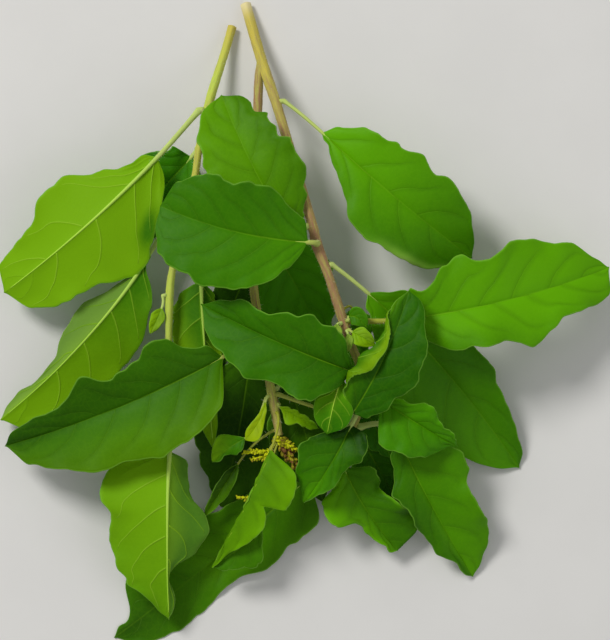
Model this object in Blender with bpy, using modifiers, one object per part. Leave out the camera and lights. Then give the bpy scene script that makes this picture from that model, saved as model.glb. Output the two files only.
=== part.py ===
"""A cut sprig of holy basil lying on a table: two stems, toothed leaves and young flower spikes.

All sizes below are millimetres on the real plant. X runs across the sprig, Y runs back up the
stems towards their cut ends, and Z is the height above the table. The origin is on the table,
under the middle of the sprig.
"""

import math
from dataclasses import dataclass

import bmesh
import bpy
from mathutils import Vector

MM = 0.001

# Driving sizes of the plant
BLADE_THICKNESS = 0.62
STEM_RADIUS = 1.3
PETIOLE_RADIUS = 0.62
RIB_END_RADIUS = 0.4
SMALL_PETIOLE_RADIUS = 0.45
PIECE_GAP = 0.35
NARROWEST_HALF_BLADE = 0.25
RIB_REACH = 0.34
TABLE_CLEARANCE = BLADE_THICKNESS / 2

# How finely a blade is divided
STATIONS_PER_TOOTH = 2
TOOTH_PEAK = 0.6
SECTION_STEPS = 10

# Colours, as linear red, green and blue
LEAF_GREEN = (0.045, 0.17, 0.004, 1)
UNDERSIDE_GREEN = (0.16, 0.33, 0.02, 1)
YOUNG_GREEN = (0.2, 0.42, 0.015, 1)
STEM_TAN = (0.33, 0.22, 0.08, 1)
STEM_PALE = (0.42, 0.45, 0.09, 1)
BUD_BROWN = (0.25, 0.14, 0.04, 1)


@dataclass
class Leaf:
    """One leaf. Left and right are seen from above, looking from the base to the tip.

    The left and right widths are those of the half blades, at equal steps between base and tip.
    """

    name: str
    stem: str
    joint: tuple
    base: tuple
    middle: tuple
    tip: tuple
    left: tuple
    right: tuple
    fold_left: float = 16
    fold_right: float = 16
    blunt: float = 0.6
    bow: float = 0.45
    teeth: int = 6
    tooth: float = 0.7
    wave: float = 0.8
    waves: float = 1.5
    phase: float = 0.0
    roll_left: float = 0
    roll_from: float = 0.5
    columns: int = 4
    underside_up: bool = False
    young: bool = False


def oval(widest):
    """The widths of an even oval half blade."""
    return tuple(widest * share for share in (0.68, 0.95, 1.0, 0.9, 0.7, 0.4))


# Each stem is a line of points: x, y, z and the radius there
STEM_ROUTES = {
    "main": [
        (-13.0, 71.2, 1.35, 1.3),
        (-9.9, 60.0, 5.5, 1.3),
        (-7.7, 53.0, 9.0, 1.3),
        (-6.0, 47.2, 12.0, 1.2),
        (-2.2, 34.4, 16.5, 1.15),
        (1.6, 21.4, 19.6, 1.2),
        (2.6, 17.0, 20.3, 1.35),
        (5.2, 10.1, 20.4, 1.1),
        (8.6, -0.4, 19.4, 1.2),
        (10.6, -6.1, 17.8, 1.0),
        (12.8, -12.0, 15.8, 1.1),
        (12.6, -18.5, 13.4, 0.9),
        (10.6, -25.0, 11.4, 0.95),
    ],
    "branch": [
        (-9.7, 59.4, 5.7, 1.0),
        (-10.4, 54.5, 7.0, 1.05),
        (-10.7, 47.0, 8.6, 1.05),
        (-11.3, 36.0, 10.6, 1.05),
        (-12.0, 21.0, 11.8, 1.15),
        (-11.5, 6.8, 12.0, 1.0),
        (-9.6, -4.5, 12.2, 1.05),
        (-7.9, -14.4, 12.4, 1.0),
        (-7.0, -19.0, 12.4, 1.1),
        (-5.8, -26.0, 12.2, 0.8),
    ],
    "left": [
        (-16.4, 65.8, 1.2, 1.15),
        (-18.2, 59.6, 3.4, 1.1),
        (-21.4, 50.0, 7.0, 1.2),
        (-23.8, 39.0, 9.8, 1.0),
        (-24.9, 31.5, 11.4, 0.95),
        (-26.9, 24.0, 12.6, 1.1),
        (-29.6, 12.2, 13.4, 0.95),
        (-30.4, 5.8, 13.6, 1.1),
        (-30.6, -4.5, 13.6, 0.9),
        (-30.4, -18.0, 13.2, 0.85),
        (-30.2, -26.5, 12.8, 0.85),
    ],
}

LEAVES = [
    # The left stem
    Leaf("leaf_left_upper", "left", (-21.8, 48.4, 7.4), (-33.1, 36.6, 13.5), (-49.4, 20.8, 16.5),
         (-67.6, 6.5, 7.5), (8, 11, 14, 13, 10.5, 8.5), (4.2, 7.2, 11.2, 11, 8, 6.2), -12, -14,
         blunt=0.5, bow=0.25, wave=0.9, underside_up=True),
    Leaf("leaf_left_back", "left", (-23.9, 38.9, 10), (-25.6, 36.8, 7.4), (-33.8, 28.0, 5.8),
         (-43.0, 18.5, 2.2), (6.5, 9, 9.5, 9, 6.5, 4), (5.6, 7.4, 7, 6.5, 5, 3), 8, 8, blunt=0.45),
    Leaf("leaf_left_folded", "left", (-26.9, 24.0, 12.5), (-34.4, 15.8, 12.2), (-48.4, -3.4, 12.0),
         (-68.0, -21.4, 3.6), (3.6, 7.8, 10.2, 10.4, 10, 7), (2.2, 4.4, 7.8, 6.8, 2.6, 2.2), -12, -52,
         wave=0.7, underside_up=True),
    Leaf("leaf_left_inner", "left", (-27.4, 21.4, 12.8), (-23.4, 8.8, 10.6), (-22.7, -5.6, 11.6),
         (-20.7, -28.8, 8.6), oval(5.0), (5, 6.6, 6.8, 6.4, 5, 2.8), -48, -14, wave=0.4,
         underside_up=True),
    Leaf("leaf_left_end", "left", (-30.2, -26.5, 12.8), (-30.4, -29.6, 13.2), (-31.0, -47.4, 13.0),
         (-30.8, -67.7, 5.0), (5, 6, 9.8, 9, 3.4, 1.6), (11.8, 15, 13, 12.6, 10.2, 5.2), -32, -12,
         blunt=0.9, wave=1.2, waves=2.0, phase=0.2, underside_up=True),
    # The branch
    Leaf("leaf_left_front", "branch", (-9.6, -4.5, 12.2), (-18.4, -8.3, 18.6), (-41.4, -19.4, 18.4),
         (-67.0, -27.9, 8.0), (10.2, 13, 13.8, 12, 10.8, 6.8), (7.4, 11.6, 7.8, 8.8, 6.2, 4.2), 14, 32,
         blunt=0.75, teeth=7, wave=0.9),
    Leaf("leaf_bottom_shade", "branch", (-9.0, -8.5, 12), (-11.4, -11.7, 7.4), (-15.0, -27.0, 4.2),
         (-19.0, -42.4, 1.4), oval(10.0), oval(10.4), 6, 6, wave=0.4),
    Leaf("leaf_middle_back", "branch", (-12.0, 21.0, 11.8), (-8.0, 17.4, 8.6), (-1.4, 6.5, 7.0),
         (4.0, -5.4, 4.0), oval(9.0), oval(8.0), 8, 8, wave=0.5),
    Leaf("leaf_right_curled", "branch", (-7.4, -17.0, 12.4), (10.6, -20.9, 20.0), (17.8, -7.9, 24.6),
         (23.2, 6.5, 24.0), (5, 8, 9.4, 8.4, 5, 2.4), (6.2, 7.4, 9.2, 8.6, 7.4, 5.2), 4, 12,
         blunt=0.7, bow=0.1, wave=0.6, roll_left=170, columns=10),
    Leaf("leaf_bottom_bright", "branch", (-7.0, -21.0, 12.4), (-8.4, -30.6, 16.2),
         (-13.2, -41.4, 15.0), (-20.9, -55.8, 9.0), (8.2, 8.6, 6, 6, 7.4, 5.2),
         (3, 5, 5.6, 5, 4.4, 2.6), 8, -64, bow=0.7, wave=1.0, waves=2.0),
    # The main stem
    Leaf("leaf_top_back", "main", (1.2, 22.4, 19.4), (-3.2, 19.6, 20.6), (-11.7, 34.4, 21.6),
         (-18.7, 50.3, 17.5), (5, 8, 9.4, 9.8, 9.5, 7.6), (5.2, 8.8, 10.4, 8.6, 7.3, 5.4), 8, 8,
         blunt=0.5, wave=0.6),
    Leaf("leaf_top_front", "main", (2.6, 17.2, 20.3), (0.7, 17.3, 24.6), (-16.2, 19.8, 27.4),
         (-32.2, 25.4, 24.0), (6.4, 10.8, 12.4, 12.8, 11, 8.8), (8.2, 11.4, 12, 11.6, 11.2, 9), 12, 18,
         blunt=0.5, wave=0.7),
    Leaf("leaf_right_top", "main", (-5.4, 50.0, 11.2), (3.8, 42.1, 14.6), (20.0, 27.7, 16.4),
         (37.6, 14.0, 9.5), (6.2, 8.2, 9.8, 9.3, 9.7, 6.7), (3.2, 6.8, 10.2, 10.8, 9.6, 7), 12, 12,
         blunt=0.5, wave=0.8),
    Leaf("leaf_right_low", "main", (4.4, 13.0, 20.4), (14.0, 6.1, 16.6), (31.5, -11.4, 10.4),
         (48.2, -32.8, 0.5), (6.4, 8.6, 8.4, 8.2, 6.4, 4.4), (5.6, 9.4, 12, 12.4, 11.8, 8.4), 8, 10,
         blunt=0.75, wave=0.8),
    Leaf("leaf_right_long", "main", (8.6, -0.4, 19.4), (20.6, 0.0, 18.6), (45.5, 4.5, 18.0),
         (68.2, 11.7, 7.5), (7.2, 11.6, 9.8, 12, 10.6, 7.4), (6, 8.4, 8.4, 11.2, 6.6, 5.6), 12, 12,
         blunt=0.65, teeth=7, wave=1.2, waves=2.5),
    Leaf("leaf_middle_front", "main", (12.4, -11.0, 16.2), (10.6, -11.4, 21.4), (-4.5, -5.6, 23.6),
         (-23.2, 3.5, 17.5), (6.8, 10, 9.2, 9.4, 8.4, 5.8), (4.8, 7.6, 9, 7, 5.4, 4.4), 14, 36,
         blunt=0.6, wave=0.8),
    Leaf("leaf_right_inner", "main", (12.8, -12.4, 15.7), (17.0, -17.8, 17.4), (25.9, -23.6, 17.8),
         (34.2, -28.4, 13.5), (2.6, 4.2, 5.6, 5.4, 3.6, 2.2), (5.4, 8.2, 8, 7, 5.6, 2.4), 40, 10,
         blunt=0.8, teeth=5, wave=0.6),
    Leaf("leaf_right_end", "main", (11.2, -23.4, 11.8), (20.8, -26.0, 11.6), (28.4, -41.6, 9.6),
         (37.9, -57.5, 0.5), (8.2, 11, 10.2, 9.4, 9, 6.8), (3.6, 4.8, 5, 5.2, 4.2, 2.2), 12, 20,
         blunt=0.7, wave=1.2, waves=2.0),
    Leaf("leaf_bottom_middle", "main", (12.4, -19.5, 13.2), (10.4, -23.6, 15.8), (5.6, -32.6, 16.8),
         (-0.2, -41.0, 13.0), (5.2, 6.4, 5, 3.8, 2.8, 1.6), (3.6, 6, 7.4, 7.2, 5.2, 2.8), 20, 12,
         blunt=0.9, teeth=5, tooth=0.3, wave=0.7),
    Leaf("leaf_bottom_right", "main", (11.2, -23.2, 11.8), (8.8, -33.3, 10.2), (13.8, -42.8, 8.0),
         (20.9, -52.2, 4.0), (5, 6.2, 5.8, 6, 8.2, 6), (3.8, 7, 7.4, 4, 2.4, 1.4), 16, 10,
         blunt=0.8, teeth=5, wave=1.4, waves=2.0),
    Leaf("leaf_bottom_back", "main", (10.8, -24.6, 11.4), (13.6, -28.4, 6.4), (18.0, -36.0, 3.2),
         (23.0, -45.0, 1.4), oval(6.6), oval(6.6), 4, 4, teeth=5, wave=0.3),
    Leaf("leaf_bottom_long", "main", (9.8, -25.0, 11.2), (1.6, -34.9, 6.4), (-20.4, -54.2, 0.7),
         (-42.4, -71.4, 0.31), (8.2, 8.2, 6.8, 5.6, 6.2, 4.8), (5, 7, 9, 9.4, 9, 4.4), 2, 6,
         blunt=0.8, teeth=8, wave=0.6, waves=2.5),
    # Young leaves in the axils
    Leaf("leaflet_middle", "main", (12.8, -15.4, 15.0), (8.1, -12.8, 20.2), (6.3, -19.1, 21.8),
         (5.0, -25.4, 19.5), (1.2, 1.4, 3.2, 3.9, 3.6, 2.2), (1.1, 2, 3.8, 4.1, 3.8, 2.4), -10, -10,
         teeth=3, tooth=0.2, wave=0.3, columns=2, underside_up=True),
    Leaf("leaflet_axil_right", "main", (8.6, -0.4, 19.4), (11.6, 0.6, 22.6), (12.8, 0.4, 23.0),
         (14.4, 0.0, 22.8), oval(1.7), oval(1.7), 10, 10, teeth=2, tooth=0.15, wave=0.0, columns=2,
         young=True),
    Leaf("leaflet_axil_low", "main", (9.2, -2.4, 19.2), (11.6, -2.8, 21.6), (13.6, -4.2, 22.0),
         (15.6, -5.8, 21.2), oval(1.6), oval(1.8), 14, 14, teeth=2, tooth=0.15, wave=0.0, columns=2,
         young=True),
    Leaf("leaflet_axil_left", "main", (8.2, 0.4, 19.5), (7.0, -1.6, 21.8), (6.8, -3.6, 22.2),
         (7.4, -5.4, 21.6), oval(0.9), oval(0.9), 20, 20, teeth=2, tooth=0.1, wave=0.0, columns=2,
         young=True),
    Leaf("leaflet_low_left", "branch", (-8.2, -16.6, 12.4), (-14.8, -27.0, 14.6),
         (-17.4, -29.4, 14.6), (-20.6, -32.0, 13.0), oval(3.0), oval(2.6), 10, 14, teeth=3,
         tooth=0.35, wave=0.4, columns=2, young=True),
    Leaf("leaflet_low_right", "branch", (-7.0, -18.4, 12.4), (-4.4, -20.8, 12.8), (-1.4, -22.6, 12.6),
         (2.3, -24.2, 11.6), oval(1.6), (1.4, 3.2, 2.4, 1.6, 1.4, 1), 24, 24, teeth=3, tooth=0.25,
         wave=0.2, columns=2, young=True),
    Leaf("leaflet_narrow", "branch", (-6.2, -24.0, 12.2), (-15.2, -32.6, 9.0), (-19.0, -38.6, 8.4),
         (-22.8, -44.4, 6.6), oval(2.4), oval(2.2), 30, 30, teeth=3, tooth=0.3, wave=0.3, columns=2,
         young=True),
    Leaf("leaflet_left_outer", "left", (-30.4, 5.8, 13.6), (-32.2, 2.6, 14.2), (-33.4, -0.2, 14.2),
         (-34.8, -3.0, 13.4), oval(1.5), oval(1.5), 20, 20, teeth=2, tooth=0.15, wave=0.0, columns=2,
         young=True),
]

# Each spike: its foot, its tip and the widest radius of its whorls of buds
SPIKES = {
    "flower_spike_end": ((-5.4, -28.2, 12.2), (-1.6, -33.6, 12.0), 1.9),
    "flower_spike_left": ((-9.0, -30.0, 12.6), (-13.6, -29.8, 12.4), 1.1),
}
SPIKE_AXIS_RADIUS = 0.6
BUDS_IN_WHORL = 4
BUD_SPACING = 1.7


def clear_scene():
    for obj in list(bpy.data.objects):
        bpy.data.objects.remove(obj)


def new_collection(name):
    collection = bpy.data.collections.new(name)
    bpy.context.scene.collection.children.link(collection)
    return collection


def material(name, colour, roughness):
    made = bpy.data.materials.new(name)
    made.use_nodes = True
    shader = made.node_tree.nodes["Principled BSDF"]
    shader.inputs["Base Color"].default_value = colour
    shader.inputs["Roughness"].default_value = roughness
    return made


def spline_point(points, place):
    """A point of the smooth line through the points. Place runs from 0 to one less than their count."""
    span = min(int(place), len(points) - 2)
    u = place - span
    before = points[max(span - 1, 0)]
    start, end = points[span], points[span + 1]
    after = points[min(span + 2, len(points) - 1)]
    return [
        0.5 * (2 * b + (c - a) * u + (2 * a - 5 * b + 4 * c - d) * u * u
               + (3 * b - a - 3 * c + d) * u ** 3)
        for a, b, c, d in zip(before, start, end, after)
    ]


def stem_line(stem, per_span):
    """Points along a stem, as (centre, radius) pairs."""
    route = STEM_ROUTES[stem]
    steps = (len(route) - 1) * per_span
    found = [spline_point(route, i / per_span) for i in range(steps + 1)]
    return [(Vector(p[:3]), p[3]) for p in found]


def joint_on_stem(stem, near, towards, thick):
    """Where a petiole starts: just clear of the stem, on the side that faces the blade."""
    line = stem_line(stem, 4)
    index = min(range(len(line)), key=lambda i: (line[i][0] - Vector(near)).length)
    centre, radius = line[index]
    ahead = line[min(index + 1, len(line) - 1)][0]
    behind = line[max(index - 1, 0)][0]
    along = (ahead - behind).normalized()
    out = Vector(towards) - centre
    sideways = (out - along * out.dot(along) * 0.8).normalized()
    lean = math.sqrt(max(1 - out.normalized().dot(sideways) ** 2, 0))
    return centre + sideways * (radius * 1.08 + PIECE_GAP + thick * lean)


def midrib(leaf, s):
    """The point of the midrib at s, from 0 at the base to 1 at the tip, and its direction."""
    base, middle, tip = Vector(leaf.base), Vector(leaf.middle), Vector(leaf.tip)
    bend = 2 * middle - (base + tip) / 2
    point = base * (1 - s) ** 2 + bend * 2 * s * (1 - s) + tip * s * s
    along = (bend - base) * (1 - s) + (tip - bend) * s
    return point, along.normalized()


def tooth_shape(leaf, s):
    """From 0 in the notch between two teeth to 1 at the point of a tooth."""
    place = (s * leaf.teeth) % 1.0
    if place < TOOTH_PEAK:
        return math.sin(math.pi / 2 * place / TOOTH_PEAK)
    return math.cos(math.pi / 2 * (place - TOOTH_PEAK) / (1 - TOOTH_PEAK)) ** 0.7


def half_width(leaf, s, side):
    """The width of one half of the blade at s. Side is 1 for the right half and -1 for the left."""
    widths = [(0.0,), *((width,) for width in (leaf.right if side > 0 else leaf.left)), (0.0,)]
    steps = len(widths) - 1
    width = max(spline_point(widths, s * steps)[0], 0.0)
    to_end = min(s, 1 - s) * steps
    if 0 < to_end < 1:
        width *= to_end ** (leaf.blunt - 1)
    near_ends = min(1.0, 5 * s, 6 * (1 - s))
    return max(width + leaf.tooth * (tooth_shape(leaf, s) - 0.5) * near_ends, NARROWEST_HALF_BLADE)


def half_section(leaf, reach, share, side):
    """How far out and how far up a point of one half lies. Share is 0 at the rib and 1 at the margin."""
    fold = leaf.fold_right if side > 0 else leaf.fold_left
    out = up = 0.0
    step = share / SECTION_STEPS
    for i in range(SECTION_STEPS):
        place = (i + 0.5) * step
        angle = fold - 0.5 * fold * place
        if side < 0 and leaf.roll_left and place > leaf.roll_from:
            angle += leaf.roll_left * (place - leaf.roll_from) / (1 - leaf.roll_from)
        out += math.cos(math.radians(angle)) * step * reach
        up += math.sin(math.radians(angle)) * step * reach
    return out, up


def blade_point(leaf, s, t):
    """A point of the blade. t runs from -1 at the left margin, through the midrib, to 1 at the right."""
    centre, along = midrib(leaf, s)
    side = 1 if t >= 0 else -1
    level = along.cross(Vector((0, 0, 1))).normalized()
    upward = level.cross(along).normalized()
    width = half_width(leaf, s, side)
    out, up = half_section(leaf, width, abs(t), side)
    ripple = leaf.wave * t * t * math.sin(2 * math.pi * (leaf.waves * s + leaf.phase + 0.37 * (side > 0)))
    ripple *= math.sin(math.pi * s) ** 0.5 if 0 < s < 1 else 0
    point = centre + level * (out * side) + upward * (up + ripple)
    point.z = max(point.z, TABLE_CLEARANCE)
    return point


def station_places(leaf):
    """Where the blade is divided along its length: at each tooth's notch and point."""
    places = [0.0]
    for tooth in range(leaf.teeth):
        places.append((tooth + TOOTH_PEAK) / leaf.teeth)
        places.append((tooth + 1) / leaf.teeth)
    return places


def blade_mesh(leaf, origin):
    places = station_places(leaf)
    blade = bmesh.new()
    bmesh.ops.create_grid(blade, x_segments=leaf.columns, y_segments=len(places) - 1, size=1)
    for vertex in blade.verts:
        t = vertex.co.x
        row = round((vertex.co.y + 1) / 2 * (len(places) - 1))
        vertex.co = (blade_point(leaf, places[row], t) - origin) * MM
    bmesh.ops.triangulate(blade, faces=blade.faces)
    bmesh.ops.recalc_face_normals(blade, faces=blade.faces)
    mesh = bpy.data.meshes.new(leaf.name)
    blade.to_mesh(mesh)
    blade.free()
    return mesh


def tube(name, points, origin, sides_resolution):
    """A round tube along (centre, radius) points, as a closed mesh object."""
    curve = bpy.data.curves.new(name, "CURVE")
    curve.dimensions = "3D"
    curve.bevel_depth = MM
    curve.bevel_resolution = sides_resolution
    curve.use_fill_caps = True
    spline = curve.splines.new("POLY")
    spline.points.add(len(points) - 1)
    for place, (centre, radius) in zip(spline.points, points):
        place.co = (*((centre - origin) * MM), 1)
        place.radius = radius
    guide = bpy.data.objects.new(name, curve)
    bpy.context.scene.collection.objects.link(guide)
    mesh = bpy.data.meshes.new_from_object(guide.evaluated_get(bpy.context.evaluated_depsgraph_get()))
    bpy.data.objects.remove(guide)
    closed = bmesh.new()
    closed.from_mesh(mesh)
    bmesh.ops.remove_doubles(closed, verts=closed.verts, dist=0.001 * MM)
    bmesh.ops.recalc_face_normals(closed, faces=closed.faces)
    closed.to_mesh(mesh)
    closed.free()
    mesh.name = name
    made = bpy.data.objects.new(name, mesh)
    bpy.context.scene.collection.objects.link(made)
    return made


def keep_evaluated(obj):
    """Applies every modifier of the object."""
    mesh = bpy.data.meshes.new_from_object(obj.evaluated_get(bpy.context.evaluated_depsgraph_get()))
    obj.modifiers.clear()
    obj.data = mesh


def union(obj, others):
    """Joins the other objects to this one in one body, and removes them."""
    extra = new_collection(obj.name + "_joined")
    for other in others:
        bpy.context.scene.collection.objects.unlink(other)
        extra.objects.link(other)
    join = obj.modifiers.new("join", "BOOLEAN")
    join.operation = "UNION"
    join.solver = "MANIFOLD"
    join.operand_type = "COLLECTION"
    join.collection = extra
    keep_evaluated(obj)
    for other in list(extra.objects):
        bpy.data.objects.remove(other)
    bpy.data.collections.remove(extra)


def petiole_line(leaf):
    """(centre, radius) points from the stem to the blade and on along the midrib."""
    thick = PETIOLE_RADIUS if leaf.columns > 2 else SMALL_PETIOLE_RADIUS
    base, along = midrib(leaf, 0)
    bend = base - along * (base - Vector(leaf.joint)).length * leaf.bow
    start = joint_on_stem(leaf.stem, leaf.joint, bend, thick)
    points = []
    for i in range(5):
        u = i / 4
        centre = start * (1 - u) ** 2 + bend * 2 * u * (1 - u) + base * u * u
        points.append((centre, thick * (1 - 0.12 * u)))
    for i in range(1, 3):
        s = RIB_REACH * i / 2
        points.append((midrib(leaf, s)[0], thick * 0.88 + (RIB_END_RADIUS - thick * 0.88) * i / 2))
    return points


def place(obj, origin, finish, collection, root):
    """Puts a finished piece in its collection, at its origin, with its finish."""
    for held in list(obj.users_collection):
        held.objects.unlink(obj)
    collection.objects.link(obj)
    obj.location = origin * MM
    obj.parent = root
    obj.data.materials.clear()
    obj.data.materials.append(finish)
    obj.data.shade_smooth()
    obj.data.set_sharp_from_angle(angle=math.radians(50))


def make_leaf(leaf, finish, collection, root):
    line = petiole_line(leaf)
    origin = line[0][0]
    obj = bpy.data.objects.new(leaf.name, blade_mesh(leaf, origin))
    bpy.context.scene.collection.objects.link(obj)
    thicken = obj.modifiers.new("thickness", "SOLIDIFY")
    thicken.thickness = BLADE_THICKNESS * MM
    thicken.offset = 0
    keep_evaluated(obj)
    union(obj, [tube(leaf.name + "_petiole", line, origin, 1)])
    place(obj, origin, finish, collection, root)


def make_stem(name, stems, finish, collection, root):
    """One stem with its side branches joined to it."""
    origin = stem_line(stems[0], 1)[0][0]
    first, *rest = [tube(name + "_" + stem, stem_line(stem, 2), origin, 2) for stem in stems]
    first.name = name
    if rest:
        union(first, rest)
    place(first, origin, finish, collection, root)


def make_spike(name, foot, tip, widest, finish, collection, root):
    """A young flower spike: a thin axis that carries whorls of small round buds."""
    foot, tip = Vector(foot), Vector(tip)
    along = (tip - foot).normalized()
    side = along.cross(Vector((0, 0, 1))).normalized()
    up = side.cross(along)
    length = (tip - foot).length
    axis = tube(name, [(foot, SPIKE_AXIS_RADIUS), (tip, SPIKE_AXIS_RADIUS)], foot, 1)
    buds = []
    whorls = max(3, round(length / BUD_SPACING))
    for whorl in range(whorls):
        share = (whorl + 0.5) / whorls
        size = widest * (0.42 - 0.1 * share)
        ring = widest * (0.62 - 0.15 * share)
        for bud in range(BUDS_IN_WHORL):
            turn = 2 * math.pi * (bud + 0.5 * (whorl % 2)) / BUDS_IN_WHORL
            centre = along * (length * share) + (side * math.cos(turn) + up * math.sin(turn)) * ring
            ball = bmesh.new()
            bmesh.ops.create_icosphere(ball, subdivisions=1, radius=size * MM)
            mesh = bpy.data.meshes.new(name + "_bud")
            ball.to_mesh(mesh)
            ball.free()
            made = bpy.data.objects.new(name + "_bud", mesh)
            bpy.context.scene.collection.objects.link(made)
            made.location = centre * MM
            buds.append(made)
    union(axis, buds)
    place(axis, foot, finish, collection, root)


def main():
    clear_scene()
    sprig = new_collection("basil_sprig")
    root = bpy.data.objects.new("basil_sprig_root", None)
    sprig.objects.link(root)
    leaf_top = material("leaf_top", LEAF_GREEN, 0.4)
    leaf_underside = material("leaf_underside", UNDERSIDE_GREEN, 0.6)
    leaf_young = material("leaf_young", YOUNG_GREEN, 0.5)
    make_stem("stem_forked", ["main", "branch"], material("stem_tan", STEM_TAN, 0.6), sprig, root)
    make_stem("stem_left", ["left"], material("stem_pale", STEM_PALE, 0.55), sprig, root)
    for leaf in LEAVES:
        finish = leaf_underside if leaf.underside_up else leaf_young if leaf.young else leaf_top
        make_leaf(leaf, finish, sprig, root)
    buds = material("flower_buds", BUD_BROWN, 0.7)
    for name, (foot, tip, widest) in SPIKES.items():
        make_spike(name, foot, tip, widest, buds, sprig, root)


main()
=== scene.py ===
"""A cut sprig of holy basil on a pale table: bark, petioles, veined blades, buds and hairs.

Lengths in the tables below are millimetres on the real plant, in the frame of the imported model.
X runs across the sprig, Y back up the stems to their cut ends, and Z is height over the table.
"""

import math
from dataclasses import dataclass

import bpy
import numpy as np
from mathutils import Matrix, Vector


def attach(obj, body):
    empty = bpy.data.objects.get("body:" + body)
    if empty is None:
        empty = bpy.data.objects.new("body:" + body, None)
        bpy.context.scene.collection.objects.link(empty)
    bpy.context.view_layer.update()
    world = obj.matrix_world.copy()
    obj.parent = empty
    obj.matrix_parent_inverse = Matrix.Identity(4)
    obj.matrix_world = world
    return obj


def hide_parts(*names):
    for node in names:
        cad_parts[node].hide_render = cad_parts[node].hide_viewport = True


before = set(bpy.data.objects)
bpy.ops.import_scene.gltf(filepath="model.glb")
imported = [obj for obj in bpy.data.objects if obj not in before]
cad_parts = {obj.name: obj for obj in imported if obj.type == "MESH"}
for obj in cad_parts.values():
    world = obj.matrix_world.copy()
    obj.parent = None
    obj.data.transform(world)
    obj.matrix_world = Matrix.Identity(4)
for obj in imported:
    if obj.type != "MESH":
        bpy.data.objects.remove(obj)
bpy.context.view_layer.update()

bl_info = {
    "name": "Basil Sprig",
    "version": (1, 0, 0),
    "blender": (4, 5, 0),
    "location": "3D View > Sidebar > Basil Sprig",
    "description": "Builds a cut sprig of basil: stems, toothed leaves, young leaves, buds and hairs",
    "category": "Object",
}

MM = 0.001
UP = np.array((0.0, 0.0, 1.0))

# Sizes that the leaves share with their solids
PETIOLE_RADIUS = 0.62
SMALL_PETIOLE_RADIUS = 0.45
PIECE_GAP = 0.35
NARROWEST_HALF_BLADE = 0.25
TOOTH_PEAK = 0.6
SECTION_STEPS = 10
LOWEST_BLADE = 0.31

# Side veins start at even steps over this share of the midrib, and sweep forward by these amounts
FIRST_VEIN = 0.05
VEINED_SHARE = 0.8
VEIN_SWEEP = (0.72, 0.85)
ROLL_SPAN = 0.16

# How finely the small blades, the veins and the petioles are made, and how low a point may lie
SMALL_ROWS, SMALL_HALF_COLUMNS = 44, 12
VEIN_SIDES = 6
STALK_STEPS = 14
LOWEST_POINT = 0.02
FIRST_LEAF_SEED = 700
HAIR_SEED = 3


@dataclass
class Leaf:
    """One leaf. Left and right are seen from above, looking from the base to the tip.

    The left and right widths are those of the half blades, at equal steps between base and tip. Where
    MARGINS has a finer row for a half, they still give the blade's usual width.
    """

    name: str
    stem: str
    joint: tuple
    base: tuple
    middle: tuple
    tip: tuple
    left: tuple
    right: tuple
    fold_left: float = 16
    fold_right: float = 16
    blunt: float = 0.6
    bow: float = 0.45
    teeth: int = 6
    tooth: float = 0.7
    wave: float = 0.8
    waves: float = 1.5
    phase: float = 0.0
    roll_left: float = 0
    roll_starts: tuple = (0.5, 0.5)
    small: bool = False
    underside_up: bool = False
    young: bool = False
    part_of: str = ""


@dataclass
class Look:
    """How light a blade's green is, from 0, deep, to 1, bright. The tones hold the leaf's own green
    together with painted light and shade.

    Base and tip are along the midrib. Left and right are what each margin adds to that, much of it
    painted light on a half turned towards the light and painted shade on a half turned away. Each of
    the patches is a place along and across, how far it reaches either way, and what it adds: painted
    shadows cast by the leaves above, painted shade on shaded parts and painted highlights on lit or
    curled parts. Pale left and right are the greyish bloom of each half, and pale patches are places
    with more of it. Stalk is the petiole's radius, and ochre is how brown it is. Veins are where the
    side veins leave the midrib on the left and on the right. Warm is how much yellower the green is,
    or colder below 0, and warm left is what the left margin adds to that.
    """

    base: float = 0.5
    tip: float = 0.5
    left: float = 0.0
    right: float = 0.0
    pairs: int = 4
    patches: tuple = ()
    pale_left: float = 0.0
    pale_right: float = 0.0
    stalk: float = 0.0
    ochre: float = 0.0
    veins: tuple = ()
    warm: float = 0.0
    warm_left: float = 0.0
    pale_patches: tuple = ()


def oval(widest):
    """The widths of an even oval half blade."""
    return tuple(widest * share for share in (0.68, 0.95, 1.0, 0.9, 0.7, 0.4))


# Each stem is a line of points: x, y, z and the radius there
STEM_ROUTES = {
    "main": [
        (-13.5, 71.7, 1.35, 1.3),
        (-10.2, 60.0, 5.5, 1.3),
        (-7.9, 53.0, 9.0, 1.3),
        (-6.0, 47.2, 12.0, 1.2),
        (-2.2, 34.4, 16.5, 1.15),
        (1.6, 21.4, 19.6, 1.2),
        (2.6, 17.0, 20.3, 1.35),
        (5.2, 10.1, 20.4, 1.1),
        (8.6, -0.4, 19.4, 1.2),
        (10.6, -6.1, 17.8, 1.0),
        (12.8, -12.0, 15.8, 1.1),
        (12.6, -18.5, 13.4, 0.9),
        (10.6, -25.0, 11.4, 0.95),
    ],
    "branch": [
        (-9.7, 59.4, 5.7, 1.0),
        (-10.4, 54.5, 7.0, 1.05),
        (-10.7, 47.0, 8.6, 1.05),
        (-11.3, 36.0, 10.6, 1.05),
        (-12.0, 21.0, 11.8, 1.15),
        (-11.5, 6.8, 12.0, 1.0),
        (-9.6, -4.5, 12.2, 1.05),
        (-7.9, -14.4, 12.4, 1.0),
        (-7.0, -19.0, 12.4, 1.1),
        (-5.8, -26.0, 12.2, 0.8),
    ],
    "left": [
        (-16.5, 66.6, 1.2, 1.15),
        (-18.5, 59.6, 3.4, 1.1),
        (-21.4, 50.0, 7.0, 1.2),
        (-23.8, 39.0, 9.8, 1.0),
        (-24.9, 31.5, 11.4, 0.95),
        (-26.9, 24.0, 12.6, 1.1),
        (-29.6, 12.2, 13.4, 0.95),
        (-30.4, 5.8, 13.6, 1.1),
        (-30.6, -4.5, 13.6, 0.9),
        (-30.4, -18.0, 13.2, 0.85),
        (-30.2, -26.5, 12.8, 0.85),
    ],
}

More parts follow.
